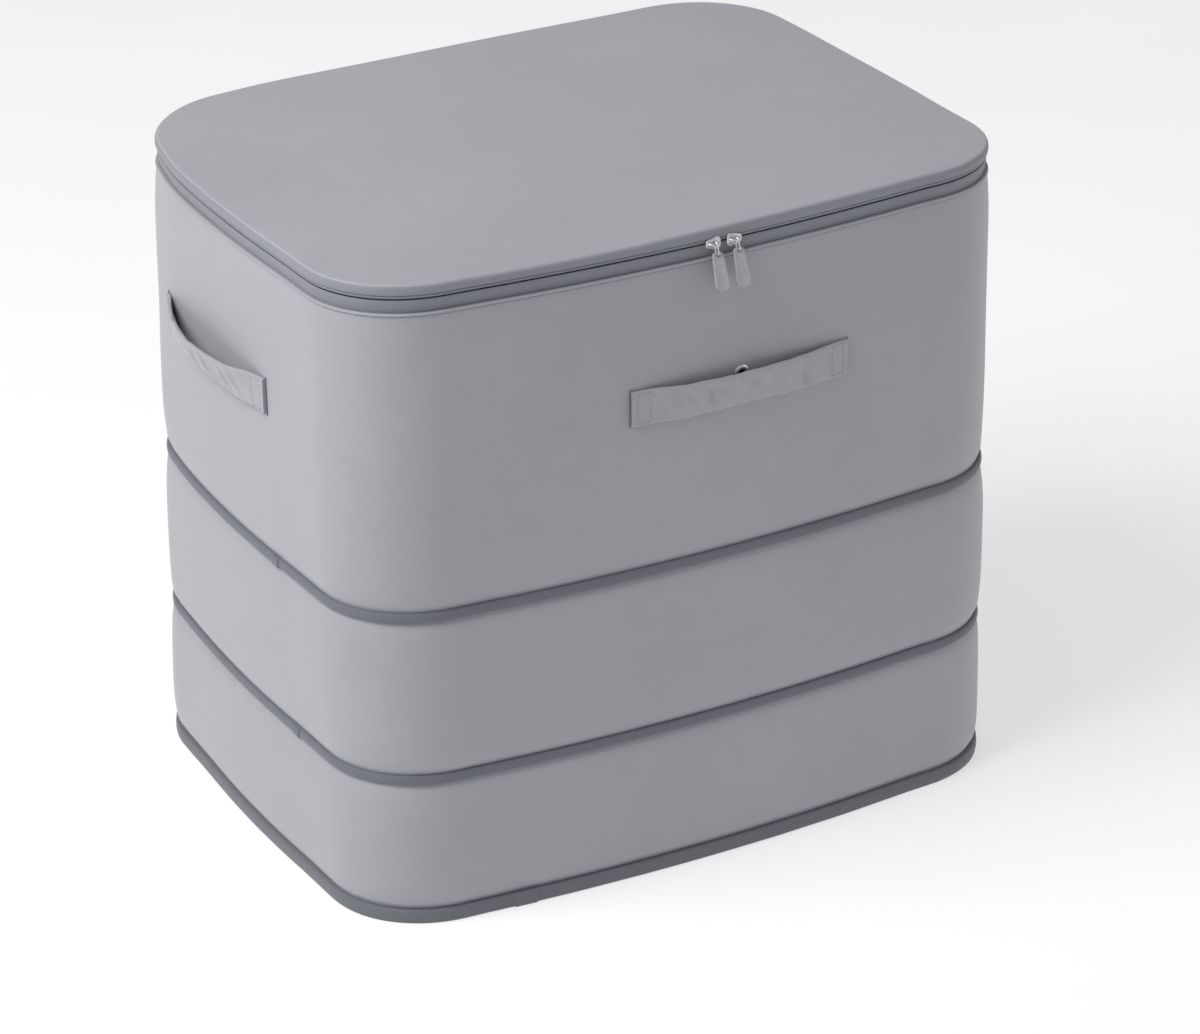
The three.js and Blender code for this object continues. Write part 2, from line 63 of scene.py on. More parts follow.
CAMERA_AZIMUTH = -28.06
CAMERA_ELEVATION = 25.86
CAMERA_DISTANCE = 3.2413
CAMERA_LENS = 138.9
CAMERA_ROLL = -0.97
CAMERA_TARGET = Vector((0.0233, 0, 0.16876))


def make_camera():
    azimuth, elevation = math.radians(CAMERA_AZIMUTH), math.radians(CAMERA_ELEVATION)
    flat = math.cos(elevation)
    back = Vector((math.sin(azimuth) * flat, -math.cos(azimuth) * flat, math.sin(elevation)))
    bpy.ops.object.camera_add(location=CAMERA_TARGET + back * CAMERA_DISTANCE)
    camera = bpy.context.object
    camera.name = "camera"
    level = (-back).to_track_quat("-Z", "Y").to_matrix()
    camera.rotation_euler = (level @ Matrix.Rotation(math.radians(CAMERA_ROLL), 3, "Z")).to_euler()
    camera.data.lens = CAMERA_LENS
    camera.data.sensor_width = 36
    bpy.context.scene.camera = camera


make_camera()


# --- the body outline

WALL_LOW, WALL_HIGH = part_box("upper_wall")
WIDTH = WALL_HIGH.x - WALL_LOW.x
DEPTH = WALL_HIGH.y - WALL_LOW.y
CORNER_RADIUS = 72 * MM
FRONT_BOW = 10 * MM
SIDE_BOW = 6 * MM


def bow_radius(chord, bow):
    return (chord * chord + 4 * bow * bow) / (8 * bow)


def meeting(first, first_radius, second, second_radius):
    """Where two circles meet, on the left of the way from the first centre to the second."""
    way = second - first
    distance = way.length
    way.normalize()
    along = (distance**2 + first_radius**2 - second_radius**2) / (2 * distance)
    aside = math.sqrt(first_radius**2 - along**2)
    return first + way * along + Vector((-way.y, way.x)) * aside


FRONT_RADIUS = bow_radius(WIDTH - 2 * CORNER_RADIUS, FRONT_BOW)
SIDE_RADIUS = bow_radius(DEPTH - 2 * CORNER_RADIUS, SIDE_BOW)
FRONT_CENTRE = Vector((0, FRONT_RADIUS - DEPTH / 2))
SIDE_CENTRE = Vector((WIDTH / 2 - SIDE_RADIUS, 0))
SIDE_INNER = SIDE_RADIUS - CORNER_RADIUS
FRONT_CORNER = meeting(FRONT_CENTRE, FRONT_RADIUS - CORNER_RADIUS, SIDE_CENTRE, SIDE_INNER)
BACK_CORNER_Y = DEPTH / 2 - CORNER_RADIUS
BACK_CORNER = Vector((SIDE_CENTRE.x + math.sqrt(SIDE_INNER**2 - BACK_CORNER_Y**2), BACK_CORNER_Y))


def right_half():
    """The outline's right half, from the middle of the back to the middle of the front, as stretches
    (centre, radius, first angle, last angle); the straight back has no centre."""
    front_turn = math.atan2(FRONT_CORNER.y - FRONT_CENTRE.y, FRONT_CORNER.x)
    side_front = math.atan2(FRONT_CORNER.y, FRONT_CORNER.x - SIDE_CENTRE.x)
    side_back = math.atan2(BACK_CORNER.y, BACK_CORNER.x - SIDE_CENTRE.x)
    return [
        (None, BACK_CORNER.x, 0, 0),
        (BACK_CORNER, CORNER_RADIUS, math.pi / 2, side_back),
        (SIDE_CENTRE, SIDE_RADIUS, side_back, side_front),
        (FRONT_CORNER, CORNER_RADIUS, side_front, front_turn),
        (FRONT_CENTRE, FRONT_RADIUS, front_turn, -math.pi / 2),
    ]


STRETCHES = right_half()
LENGTHS = [r if c is None else r * abs(b - a) for c, r, a, b in STRETCHES]
HALF_ROUND = sum(LENGTHS)
ROUND = 2 * HALF_ROUND


def outline(s):
    """The point a distance s round the outline from the middle of the back, and its outward normal."""
    s %= ROUND
    mirrored = s > HALF_ROUND
    rest = min(ROUND - s if mirrored else s, HALF_ROUND * (1 - 1e-9))
    for (centre, radius, start, end), length in zip(STRETCHES, LENGTHS):
        if rest <= length:
            break
        rest -= length
    if centre is None:
        point, normal = Vector((rest, DEPTH / 2)), Vector((0, 1))
    else:
        angle = start + (end - start) * min(1, rest / length)
        normal = Vector((math.cos(angle), math.sin(angle)))
        point = centre + normal * radius
    if mirrored:
        point.x, normal.x = -point.x, -normal.x
    return point, normal


def front_s(x):
    """The distance round the outline to the front wall at a distance x along it from its middle."""
    return HALF_ROUND - x


def left_s(y):
    """The same for the left wall, y from the middle of its arc; right_s is for the right one."""
    return ROUND - sum(LENGTHS[:2]) - LENGTHS[2] / 2 + y


def right_s(y):
    return sum(LENGTHS[:2]) + LENGTHS[2] / 2 - y


def hill(x, centre, half_width):
    """A smooth hill of height 1 round a centre."""
    t = abs(x - centre) / half_width
    return 0 if t >= 1 else (1 + math.cos(math.pi * t)) / 2


BACK_LEFT_S = ROUND - LENGTHS[0] - LENGTHS[1] / 2
FRONT_RIGHT_S = sum(LENGTHS[:3]) + LENGTHS[3] / 2 - 15 * MM
FRONT_LEFT_S = ROUND - FRONT_RIGHT_S
FRONT_RIGHT_LEAN = 5.5 * MM
FRONT_LEFT_LEAN = 3.0 * MM
FRONT_LEAN_REACH = 86 * MM
BACK_LEAN_LOW = 4 * MM  # outwards at the floor
BACK_LEAN_RISE = -12 * MM  # from the floor to the top
BACK_LEAN_REACH = 110 * MM
BIN_HEIGHT = 460 * MM


def lean(s, height):
    """Soft corners: the two at the front stand out a little, and the one at the back left leans inwards."""
    s %= ROUND
    front = FRONT_RIGHT_LEAN * hill(s, FRONT_RIGHT_S, FRONT_LEAN_REACH)
    front += FRONT_LEFT_LEAN * hill(s, FRONT_LEFT_S, FRONT_LEAN_REACH)
    back = BACK_LEAN_LOW + BACK_LEAN_RISE * height / BIN_HEIGHT
    return front + back * hill(s, BACK_LEFT_S, BACK_LEAN_REACH)


def spot(s, out, height):
    """The point in space a distance s round, out from the outline, at a height."""
    point, normal = outline(s)
    out += lean(s, height)
    return Vector((point.x + normal.x * out, point.y + normal.y * out, height))


# --- modelling helpers


def only(piece):
    bpy.ops.object.select_all(action="DESELECT")
    piece.select_set(True)
    bpy.context.view_layer.objects.active = piece


def start_piece(name):
    piece = bpy.context.object
    piece.name = name
    piece.data.name = name
    only(piece)
    return piece


def edit(piece, mode="VERT"):
    only(piece)
    bpy.ops.object.mode_set(mode="EDIT")
    bpy.ops.mesh.select_mode(type=mode)
    bpy.ops.mesh.select_all(action="SELECT")


def leave_edit():
    bpy.ops.object.mode_set(mode="OBJECT")


def settle(piece):
    """Puts a finished piece's place in its mesh."""
    only(piece)
    bpy.ops.object.transform_apply(location=True, rotation=True, scale=True)


def smooth(piece, angle=40):
    only(piece)
    bpy.ops.object.shade_smooth_by_angle(angle=math.radians(angle))


def face_out(piece):
    edit(piece)
    bpy.ops.mesh.remove_doubles(threshold=0.005 * MM)
    bpy.ops.mesh.normals_make_consistent(inside=False)
    leave_edit()


def modify(piece, kind, **settings):
    only(piece)
    modifier = piece.modifiers.new(kind.lower(), kind)
    for key, value in settings.items():
        setattr(modifier, key, value)
    bpy.ops.object.modifier_apply(modifier=modifier.name)


SHARP_ANGLE = math.radians(50)


def cloth_map(piece, rules):
    """Writes the map that the weaves follow, in metres, from one pair of distances for each vertex."""
    layer = piece.data.uv_layers.active or piece.data.uv_layers.new(name="cloth")
    layer.name = "cloth"
    for loop in piece.data.loops:
        layer.data[loop.index].uv = rules[loop.vertex_index]


def weave_sheet(name, columns):
    """A sheet of cloth through columns of points. A column that repeats the first one closes it round."""
    across, down = len(columns), len(columns[0])
    bpy.ops.mesh.primitive_grid_add(x_subdivisions=across - 1, y_subdivisions=down - 1, size=1)
    piece = start_piece(name)
    lengths = [[0] for _ in columns]
    for column, length in zip(columns, lengths):
        for before, after in zip(column, column[1:]):
            length.append(length[-1] + (after - before).length)
    middle = down // 2
    steps = [0]
    for before, after in zip(columns, columns[1:]):
        steps.append(steps[-1] + (after[middle] - before[middle]).length)
    rules = []
    for vertex in piece.data.vertices:
        i = round((vertex.co.x + 0.5) * (across - 1))
        j = round((vertex.co.y + 0.5) * (down - 1))
        vertex.co = columns[i][j]
        rules.append((steps[i], lengths[i][j]))
    cloth_map(piece, rules)
    face_out(piece)
    return piece


def round_strip(name, section, count=300):
    """A strip of cloth once round the bin. section(s) gives (out, height) pairs at a distance s."""
    return part_strip(name, 0, ROUND, section, count)


def part_strip(name, start, end, section, count):
    """A strip of cloth along part of the outline."""
    stations = [start + (end - start) * i / count for i in range(count + 1)]
    return weave_sheet(name, [[spot(s, *pair) for pair in section(s)] for s in stations])


def close_ends(piece):
    """Fills the open ends of a tube."""
    edit(piece, "EDGE")
    bpy.ops.mesh.select_all(action="DESELECT")
    others = {"use_wire": False, "use_multi_face": False, "use_non_contiguous": False, "use_verts": False}
    bpy.ops.mesh.select_non_manifold(extend=False, use_boundary=True, **others)
    bpy.ops.mesh.fill_holes(sides=0)
    leave_edit()
    face_out(piece)


def ease(t):
    """Rises smoothly from 0 at t = 0 to 1 at t = 1."""
    t = min(1, max(0, t))
    return t * t * (3 - 2 * t)


def soft_noise(s, height, wave, seed):
    """Noise that meets itself after one round of the outline."""
    angle = 2 * math.pi * s / ROUND
    radius = ROUND / (2 * math.pi * wave)
    at = Vector((radius * math.cos(angle), radius * math.sin(angle), height / wave + seed))
    return noise.noise(at)


def bevel_edges(piece, width, segments):
    modify(piece, "BEVEL", width=width, segments=segments, limit_method="ANGLE", angle_limit=SHARP_ANGLE)


def slab(name, points, low, high, round_edge=0, segments=2):
    """A plate with an outline in x and z, between two values of y, its edges rounded over."""
    bpy.ops.mesh.primitive_circle_add(vertices=len(points), radius=1, fill_type="NGON")
    plate = start_piece(name)
    order = sorted(plate.data.vertices, key=lambda v: math.atan2(v.co.y, v.co.x) % (2 * math.pi))
    for vertex, (x, z) in zip(order, points):
        vertex.co = Vector((x, low, z))
    edit(plate)
    bpy.ops.mesh.extrude_region_move(TRANSFORM_OT_translate={"value": (0, high - low, 0)})
    leave_edit()
    face_out(plate)
    if round_edge:
        bevel_edges(plate, round_edge, segments)
    return plate


def join_pieces(name, pieces):
    bpy.ops.object.select_all(action="DESELECT")
    for piece in pieces:
        piece.select_set(True)
    bpy.context.view_layer.objects.active = pieces[0]
    bpy.ops.object.join()
    return start_piece(name)


def cut_out(piece, cutter):
    modify(piece, "BOOLEAN", object=cutter, operation="DIFFERENCE", solver="EXACT")
    only(cutter)
    bpy.ops.object.delete()


def place(piece, matrix):
    piece.matrix_world = matrix @ piece.matrix_world
    settle(piece)
    return piece


# --- heights, from the frame


def heights_of(node):
    low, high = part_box(node)
    return low.z, high.z


LOWER_BAND = heights_of("lower_band")
UPPER_BAND = heights_of("upper_band")
BASE_RIM_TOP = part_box("base_rim_binding")[1].z
WALL_TOP = WALL_HIGH.z
LID_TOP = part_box("lid_panel")[1].z
LID_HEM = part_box("lid_gusset")[0].z
ZIP_LINE = (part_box("body_zip_coil")[1].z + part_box("lid_zip_coil")[0].z) / 2
HINGE_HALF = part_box("hinge_gusset_body")[1].x
RIM_INSIDE = heights_of("rim_binding")
CLOTH = 1.6 * MM


# --- finishes

LINEN_GREY = (0.335, 0.343, 0.374)
TAPE_GREY = (0.148, 0.155, 0.178)
ZIP_GREY = (0.225, 0.234, 0.262)
# painted shade: a darker copy of the bin cloth's grey, for the lid's side
LID_SIDE_SHADE_GREY = (0.245, 0.253, 0.282)


def new_group(name, inputs, outputs):
    tree = bpy.data.node_groups.new(name, "ShaderNodeTree")
    for label, kind, value in inputs:
        socket = tree.interface.new_socket(name=label, in_out="INPUT", socket_type="NodeSocket" + kind)
        if value is not None:
            socket.default_value = value
    for label, kind in outputs:
        tree.interface.new_socket(name=label, in_out="OUTPUT", socket_type="NodeSocket" + kind)
    return tree, tree.nodes.new("NodeGroupInput").outputs, tree.nodes.new("NodeGroupOutput").inputs


def feed(tree, socket, value):
    if isinstance(value, bpy.types.NodeSocket):
        tree.links.new(value, socket)
    else:
        socket.default_value = value


def calc(tree, operation, first, second=0.0, third=0.0):
    node = tree.nodes.new("ShaderNodeMath")
    node.operation = operation
    for socket, value in zip(node.inputs, (first, second, third)):
        feed(tree, socket, value)
    return node.outputs[0]


def blend_colours(tree, share, first, second):
    node = tree.nodes.new("ShaderNodeMix")
    node.data_type = "RGBA"
    feed(tree, node.inputs["Factor"], share)
    feed(tree, node.inputs[6], first)
    feed(tree, node.inputs[7], second)
    return node.outputs[2]


def spread(tree, value, low, high, out_low, out_high):
    node = tree.nodes.new("ShaderNodeMapRange")
    for socket, item in zip(node.inputs, (value, low, high, out_low, out_high)):
        feed(tree, socket, item)
    return node.outputs[0]


def noise_field(tree, place_socket, scale, detail=3.0, rough=0.55):
    node = tree.nodes.new("ShaderNodeTexNoise")
    tree.links.new(place_socket, node.inputs["Vector"])
    node.inputs["Scale"].default_value = scale
    node.inputs["Detail"].default_value = detail
    node.inputs["Roughness"].default_value = rough
    return node.outputs["Fac"]


def new_weave(name, *more_inputs):
    inputs = [("Place", "Vector", None), ("Pitch", "Float", 0.7 * MM), *more_inputs]
    inputs += [("Thread", "Color", (0.4, 0.4, 0.4, 1)), ("Gap shade", "Color", (0.3, 0.3, 0.3, 1))]
    tree, given, result = new_group(name, inputs, [("Color", "Color"), ("Height", "Float")])
    parts = tree.nodes.new("ShaderNodeSeparateXYZ")
    tree.links.new(given["Place"], parts.inputs[0])
    return tree, given, result, parts


def finish_weave(tree, given, result, height):
    # The colour holds painted shade: the gap colour darkens the low places between the threads
    feed(tree, result["Color"], blend_colours(tree, height, given["Gap shade"], given["Thread"]))
    feed(tree, result["Height"], height)
    return tree


def wave(tree, value):
    return calc(tree, "ABSOLUTE", calc(tree, "SINE", calc(tree, "MULTIPLY", value, math.pi)))


def make_plain_weave():
    """Threads over and under one another."""
    tree, given, result, parts = new_weave("plain weave")
    along = calc(tree, "DIVIDE", parts.outputs[0], given["Pitch"])
    up = calc(tree, "DIVIDE", parts.outputs[1], given["Pitch"])
    warp, weft = wave(tree, along), wave(tree, up)
    cell = calc(tree, "ADD", calc(tree, "FLOOR", along), calc(tree, "FLOOR", up))
    over = calc(tree, "MULTIPLY", calc(tree, "FRACT", calc(tree, "MULTIPLY", cell, 0.5)), 2.0)
    under = calc(tree, "SUBTRACT", 1.0, over)
    height = calc(tree, "ADD", calc(tree, "MULTIPLY", warp, over), calc(tree, "MULTIPLY", weft, under))
    return finish_weave(tree, given, result, height)


def make_ribs():
    """The slanted ribs of a woven tape."""
    tree, given, result, parts = new_weave("ribbed tape", ("Slant", "Float", 1.0))
    slanted = calc(tree, "MULTIPLY", parts.outputs[1], given["Slant"])
    line = calc(tree, "DIVIDE", calc(tree, "ADD", parts.outputs[0], slanted), given["Pitch"])
    return finish_weave(tree, given, result, wave(tree, line))


def make_patches():
    """Soft patches of light and dark, as handled cloth has."""
    inputs = [("Place", "Vector", None), ("Color", "Color", (0.4, 0.4, 0.4, 1)), ("Amount", "Float", 0.1)]
    tree, given, result = new_group("soft patches", inputs, [("Color", "Color"), ("Mask", "Float")])
    wide = noise_field(tree, given["Place"], 7.0, 2.0)
    fine = noise_field(tree, given["Place"], 60.0, 3.0)
    both = calc(tree, "MULTIPLY_ADD", wide, 0.7, calc(tree, "MULTIPLY", fine, 0.3))
    mask = spread(tree, both, 0.35, 0.65, 0.0, 1.0)
    level = calc(tree, "SUBTRACT", mask, 0.5)
    gain = calc(tree, "MULTIPLY_ADD", level, given["Amount"], 1.0)
    node = tree.nodes.new("ShaderNodeVectorMath")
    node.operation = "SCALE"
    tree.links.new(given["Color"], node.inputs[0])
    tree.links.new(gain, node.inputs["Scale"])
    feed(tree, result["Color"], node.outputs[0])
    feed(tree, result["Mask"], mask)
    return tree


def make_scuffs():
    """Fine scratches and dull patches on hard parts."""
    inputs = [("Place", "Vector", None), ("Clean", "Color", (0.7, 0.7, 0.7, 1))]
    inputs += [("Worn", "Color", (0.5, 0.5, 0.5, 1)), ("Polished", "Float", 0.2), ("Dull", "Float", 0.45)]
    outputs = [("Color", "Color"), ("Roughness", "Float"), ("Height", "Float")]
    tree, given, result = new_group("scuffs", inputs, outputs)
    stretched = tree.nodes.new("ShaderNodeVectorMath")
    stretched.operation = "MULTIPLY"
    tree.links.new(given["Place"], stretched.inputs[0])
    stretched.inputs[1].default_value = (1, 1, 0.2)
    scratch = spread(tree, noise_field(tree, stretched.outputs[0], 2600.0, 2.0), 0.55, 0.7, 0.0, 1.0)
    patch = spread(tree, noise_field(tree, given["Place"], 240.0, 4.0), 0.4, 0.65, 0.0, 1.0)
    worn = calc(tree, "MAXIMUM", patch, calc(tree, "MULTIPLY", scratch, 0.6))
    feed(tree, result["Color"], blend_colours(tree, worn, given["Clean"], given["Worn"]))
    feed(tree, result["Roughness"], spread(tree, worn, 0.0, 1.0, given["Polished"], given["Dull"]))
    feed(tree, result["Height"], calc(tree, "SUBTRACT", 1.0, scratch))
    return tree


PLAIN_WEAVE = make_plain_weave()
RIBS = make_ribs()
PATCHES = make_patches()
SCUFFS = make_scuffs()


def shade(colour, factor):
    return (*[c * factor for c in colour], 1)


def place_group(tree, group, **values):
    node = tree.nodes.new("ShaderNodeGroup")
    node.node_tree = group
    for label, value in values.items():
        feed(tree, node.inputs[label], value)
    return node.outputs


def start_finish(name, **constants):
    """A material with its shader, whose plain values are set on the shader's own sockets."""
    material = bpy.data.materials.new(name)
    material.use_nodes = True
    tree = material.node_tree
    shader = next(n for n in tree.nodes if n.type == "BSDF_PRINCIPLED")
    for label, value in constants.items():
        shader.inputs[label.replace("_", " ")].default_value = value
    places = tree.nodes.new("ShaderNodeTexCoord").outputs
    return material, tree, shader, places


def bump(tree, shader, height, distance, strength):
    node = tree.nodes.new("ShaderNodeBump")
    node.inputs["Distance"].default_value = distance
    node.inputs["Strength"].default_value = strength
    tree.links.new(height, node.inputs["Height"])
    tree.links.new(node.outputs["Normal"], shader.inputs["Normal"])


def woven_finish(
    name, colour, base, pitch=0.7 * MM, gap_shade=0.86, patches=0.07, depth=0.5, ribs=None, mapped=True
):
    """A cloth or tape. mapped says that it follows the piece's cloth map and not its plain place."""
    material, tree, shader, places = start_finish(name, **base)
    at = places["UV"] if mapped else places["Object"]
    # painted shade: the gaps between threads get a darker copy of the thread colour
    threads = {"Place": at, "Pitch": pitch, "Thread": shade(colour, 1.03), "Gap shade": shade(colour, gap_shade)}
    if ribs is None:
        cloth = place_group(tree, PLAIN_WEAVE, **threads)
    else:
        cloth = place_group(tree, RIBS, Slant=ribs, **threads)
    tone = place_group(tree, PATCHES, Place=places["Object"], Color=cloth["Color"], Amount=patches)
    feed(tree, shader.inputs["Base Color"], tone["Color"])
    rough = shader.inputs["Roughness"].default_value
    feed(tree, shader.inputs["Roughness"], spread(tree, tone["Mask"], 0.0, 1.0, rough - 0.05, rough + 0.05))
    bump(tree, shader, cloth["Height"], 0.06 * MM, depth)
    return material


def hard_finish(name, clean, worn, polished, dull, depth=0.15, **constants):
    material, tree, shader, places = start_finish(name, **constants)
    tones = {"Clean": (*clean, 1), "Worn": (*worn, 1), "Polished": polished, "Dull": dull}
    marks = place_group(tree, SCUFFS, Place=places["Object"], **tones)
    feed(tree, shader.inputs["Base Color"], marks["Color"])
    feed(tree, shader.inputs["Roughness"], marks["Roughness"])
    bump(tree, shader, marks["Height"], 0.02 * MM, depth)
    return material


SATIN = {"Roughness": 0.52, "Sheen_Weight": 0.25, "Sheen_Roughness": 0.45, "Specular_IOR_Level": 0.42}
DRY = {"Roughness": 0.7, "Sheen_Weight": 0.15, "Sheen_Roughness": 0.5, "Specular_IOR_Level": 0.3}
bin_cloth = woven_finish("bin cloth", LINEN_GREY, SATIN)
binding_tape = woven_finish("binding tape", TAPE_GREY, DRY, 0.9 * MM, 0.7, ribs=0.6)
zip_tape = woven_finish("zip tape", ZIP_GREY, DRY, 0.7 * MM, 0.75, ribs=0.0)
# painted shade for the lid's side, a darker copy of the bin cloth
lid_side_shade = woven_finish("lid side painted shade", LID_SIDE_SHADE_GREY, DRY, 0.8 * MM, 0.8, ribs=0.3)
floor_lining = woven_finish("floor lining", (0.33, 0.34, 0.355), DRY, 1.1 * MM, 0.75, patches=0.12)
stiff_board = woven_finish("stiff board", (0.24, 0.2, 0.15), DRY, 2 * MM, 0.9, patches=0.3, mapped=False)
thread = woven_finish("sewing thread", (0.27, 0.28, 0.3), DRY, 0.35 * MM, 0.6, ribs=1.0, mapped=False)
nylon_coil = hard_finish("nylon coil", (0.13, 0.135, 0.15), (0.2, 0.2, 0.21), 0.3, 0.5)
nickel = hard_finish("nickel plate", (0.72, 0.73, 0.75), (0.56, 0.56, 0.57), 0.38, 0.52, Metallic=1.0)
tab_plastic = hard_finish("moulded tab", (0.33, 0.34, 0.37), (0.37, 0.38, 0.41), 0.5, 0.65, depth=0.3)


def dress(piece, material, body=None, stands_for=()):
    """Gives a finished piece its material, the body it rides on and the nodes it stands for."""
    piece.data.materials.clear()
    piece.data.materials.append(material)
    if body:
        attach(piece, body)
    if stands_for:
        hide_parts(*stands_for)
    return piece


# --- walls

WALL_FULLNESS = 2.6 * MM  # how far the cloth stands out between two bands
TUCK = 1.7 * MM  # how far it goes in at a band
TUCK_REACH = 4.5 * MM
HEM_OUT = 0.5 * MM
HEM_ROLL_RADIUS = 0.9 * MM


def wall_waves(s, height, seed):
    wide = 1.1 * MM * soft_noise(s, height, 0.17, seed)
    return wide + 0.4 * MM * soft_noise(s, height, 0.06, seed + 9)


def banded_wall_out(s, height, low, high, seed):
    """How far the cloth stands out of the outline between two bands: full, but tucked in at its edges."""
    from_edge = min(height - low, high - height)
    share = ease(from_edge / TUCK_REACH)
    full = WALL_FULLNESS * (1 - (2 * (height - low) / (high - low) - 1) ** 4)
    calm = ease(from_edge / (30 * MM))
    return -TUCK * (1 - share) + share * (full + calm * wall_waves(s, height, seed))


def upper_wall_out(s, height):
    """The upper wall is tucked in at its band only; its top ends in a straight hem."""
    low, high = UPPER_BAND[1], WALL_TOP
    share = ease((height - low) / TUCK_REACH)
    full = WALL_FULLNESS * (1 - (2 * (height - low) / (high - low) - 1) ** 4)
    calm = ease((height - low) / (30 * MM)) * ease((high - height) / (40 * MM))
    hem = HEM_OUT * ease((height - high + 60 * MM) / (50 * MM))
    return -TUCK * (1 - share) + share * (full + calm * wall_waves(s, height, 12)) + hem


def heights_between(low, high, rows):
    heights = [low + (high - low) * i / rows for i in range(rows + 1)]
    heights += [low + 1.2 * MM, low + 2.6 * MM, high - 2.6 * MM, high - 1.2 * MM]
    return sorted(heights)


def make_wall(name, low, high, rows, rule):
    heights = heights_between(low, high, rows)
    wall = round_strip(name, lambda s: [(rule(s, z), z) for z in heights])
    modify(wall, "SOLIDIFY", thickness=CLOTH, offset=-1)
    smooth(wall, 50)
    return wall


HIDDEN = 0.8 * MM  # how far a wall's edge goes behind its band

lower_wall = make_wall(
    "lower_wall_cloth",
    BASE_RIM_TOP - HIDDEN,
    LOWER_BAND[0] + HIDDEN,
    16,
    lambda s, z: banded_wall_out(s, z, BASE_RIM_TOP, LOWER_BAND[0], 3),
)
middle_wall = make_wall(
    "middle_wall_cloth",
    LOWER_BAND[1] - HIDDEN,
    UPPER_BAND[0] + HIDDEN,
    18,
    lambda s, z: banded_wall_out(s, z, LOWER_BAND[1], UPPER_BAND[0], 7),
)
upper_wall = make_wall("upper_wall_cloth", UPPER_BAND[1] - HIDDEN, WALL_TOP, 30, upper_wall_out)

EYELET_S = front_s(24.5 * MM)
EYELET_HEIGHT = sum(heights_of("vent_eyelet")) / 2
EYELET_BORE = 2.6 * MM


def punch_eyelet_hole():
    way = {"location": spot(EYELET_S, 0, EYELET_HEIGHT), "rotation": (math.pi / 2, 0, 0)}
    radius = EYELET_BORE + 0.4 * MM
    bpy.ops.mesh.primitive_cylinder_add(vertices=32, radius=radius, depth=20 * MM, **way)
    cut_out(upper_wall, start_piece("hole"))


punch_eyelet_hole()
smooth(upper_wall, 50)
dress(lower_wall, bin_cloth, "base", ["lower_wall"])
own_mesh(lower_wall)
dress(middle_wall, bin_cloth, "middle", ["middle_wall"])
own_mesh(middle_wall)
dress(upper_wall, bin_cloth, "upper", ["upper_wall"])


def make_hem_roll():
    """The doubled hem along the wall's top edge."""

    def section(s):
        middle_out, middle_height = HEM_OUT + 0.15 * MM, WALL_TOP - 0.75 * MM
        points = []
        for i in range(9):
            angle = math.radians(-110 + 260 * i / 8)
            out = middle_out + HEM_ROLL_RADIUS * math.cos(angle)
            points.append((out, middle_height + HEM_ROLL_RADIUS * math.sin(angle)))
        return points

    roll = round_strip("upper_hem_roll", section)
    smooth(roll, 80)
    return roll


dress(make_hem_roll(), bin_cloth, "upper")


# --- tapes round the bin


def tape_section(low, high, inner, outer, crown, edge):
    """A flat tape folded over a hoop: its face is slightly crowned and its edges are rounded."""
    middle = (low + high) / 2
    half = (high - low) / 2
    points = []
    for i in range(-4, 5):
        t = i / 4
        points.append((outer + crown * (1 - t * t), middle + t * (half - edge)))
    points += [(outer - edge, high), (inner + edge, high), (inner, high - edge)]
    points += [(inner, low + edge), (inner + edge, low), (outer - edge, low)]
    return points + [points[0]]


def make_tape(name, low, high, inner, outer, crown, seed):
    section = tape_section(low, high, inner, outer, crown, 0.7 * MM)

    def rippled(s):
        drift = 0.22 * MM * soft_noise(s, 0, 0.03, seed)
        return [(out + (drift if out > 0 else 0), z) for out, z in section]

    tape = round_strip(name, rippled, 320)
    smooth(tape, 70)
    return tape


def make_overlap(name, s, length, low, high, outer):
    """Where a tape's two ends overlap: a short second layer, folded under at its end."""

    def section(at):
        end = min(at - s, s + length - at)
        lift = 0.9 * MM * ease(end / (1.2 * MM) + 0.25)
        grow = 0.35 * MM * ease(end / (1.2 * MM))
        return tape_section(low - grow, high + grow, outer - 1.2 * MM, outer + lift, 0.3 * MM, 0.6 * MM)

    overlap = part_strip(name, s, s + length, section, 26)
    close_ends(overlap)
    smooth(overlap, 70)
    return overlap


BAND_OVERLAP = 9 * MM
SHORT_LOW, SHORT_HIGH = 0.5 * MM, -0.3 * MM  # a band's overlap stays inside the band's own edges
LOWER_SPAN = (LOWER_BAND[0] + SHORT_LOW, LOWER_BAND[1] + SHORT_HIGH)
UPPER_SPAN = (UPPER_BAND[0] + SHORT_LOW, UPPER_BAND[1] + SHORT_HIGH)
# name, place on the outline, length, low, high, outer face, body
OVERLAPS = [
    ("base_rim_overlap", front_s(-130 * MM), 17 * MM, 0.4 * MM, BASE_RIM_TOP, 1.9 * MM, "base"),
    ("lower_band_overlap", left_s(-84 * MM), BAND_OVERLAP, *LOWER_SPAN, 0.9 * MM, "middle"),
    ("upper_band_overlap", left_s(-66 * MM), BAND_OVERLAP, *UPPER_SPAN, 1.1 * MM, "upper"),
]
for *overlap_place, body in OVERLAPS:
    dress(make_overlap(*overlap_place), binding_tape, body)

LID_SPAN = (LID_HEM + 0.3 * MM, 457 * MM)
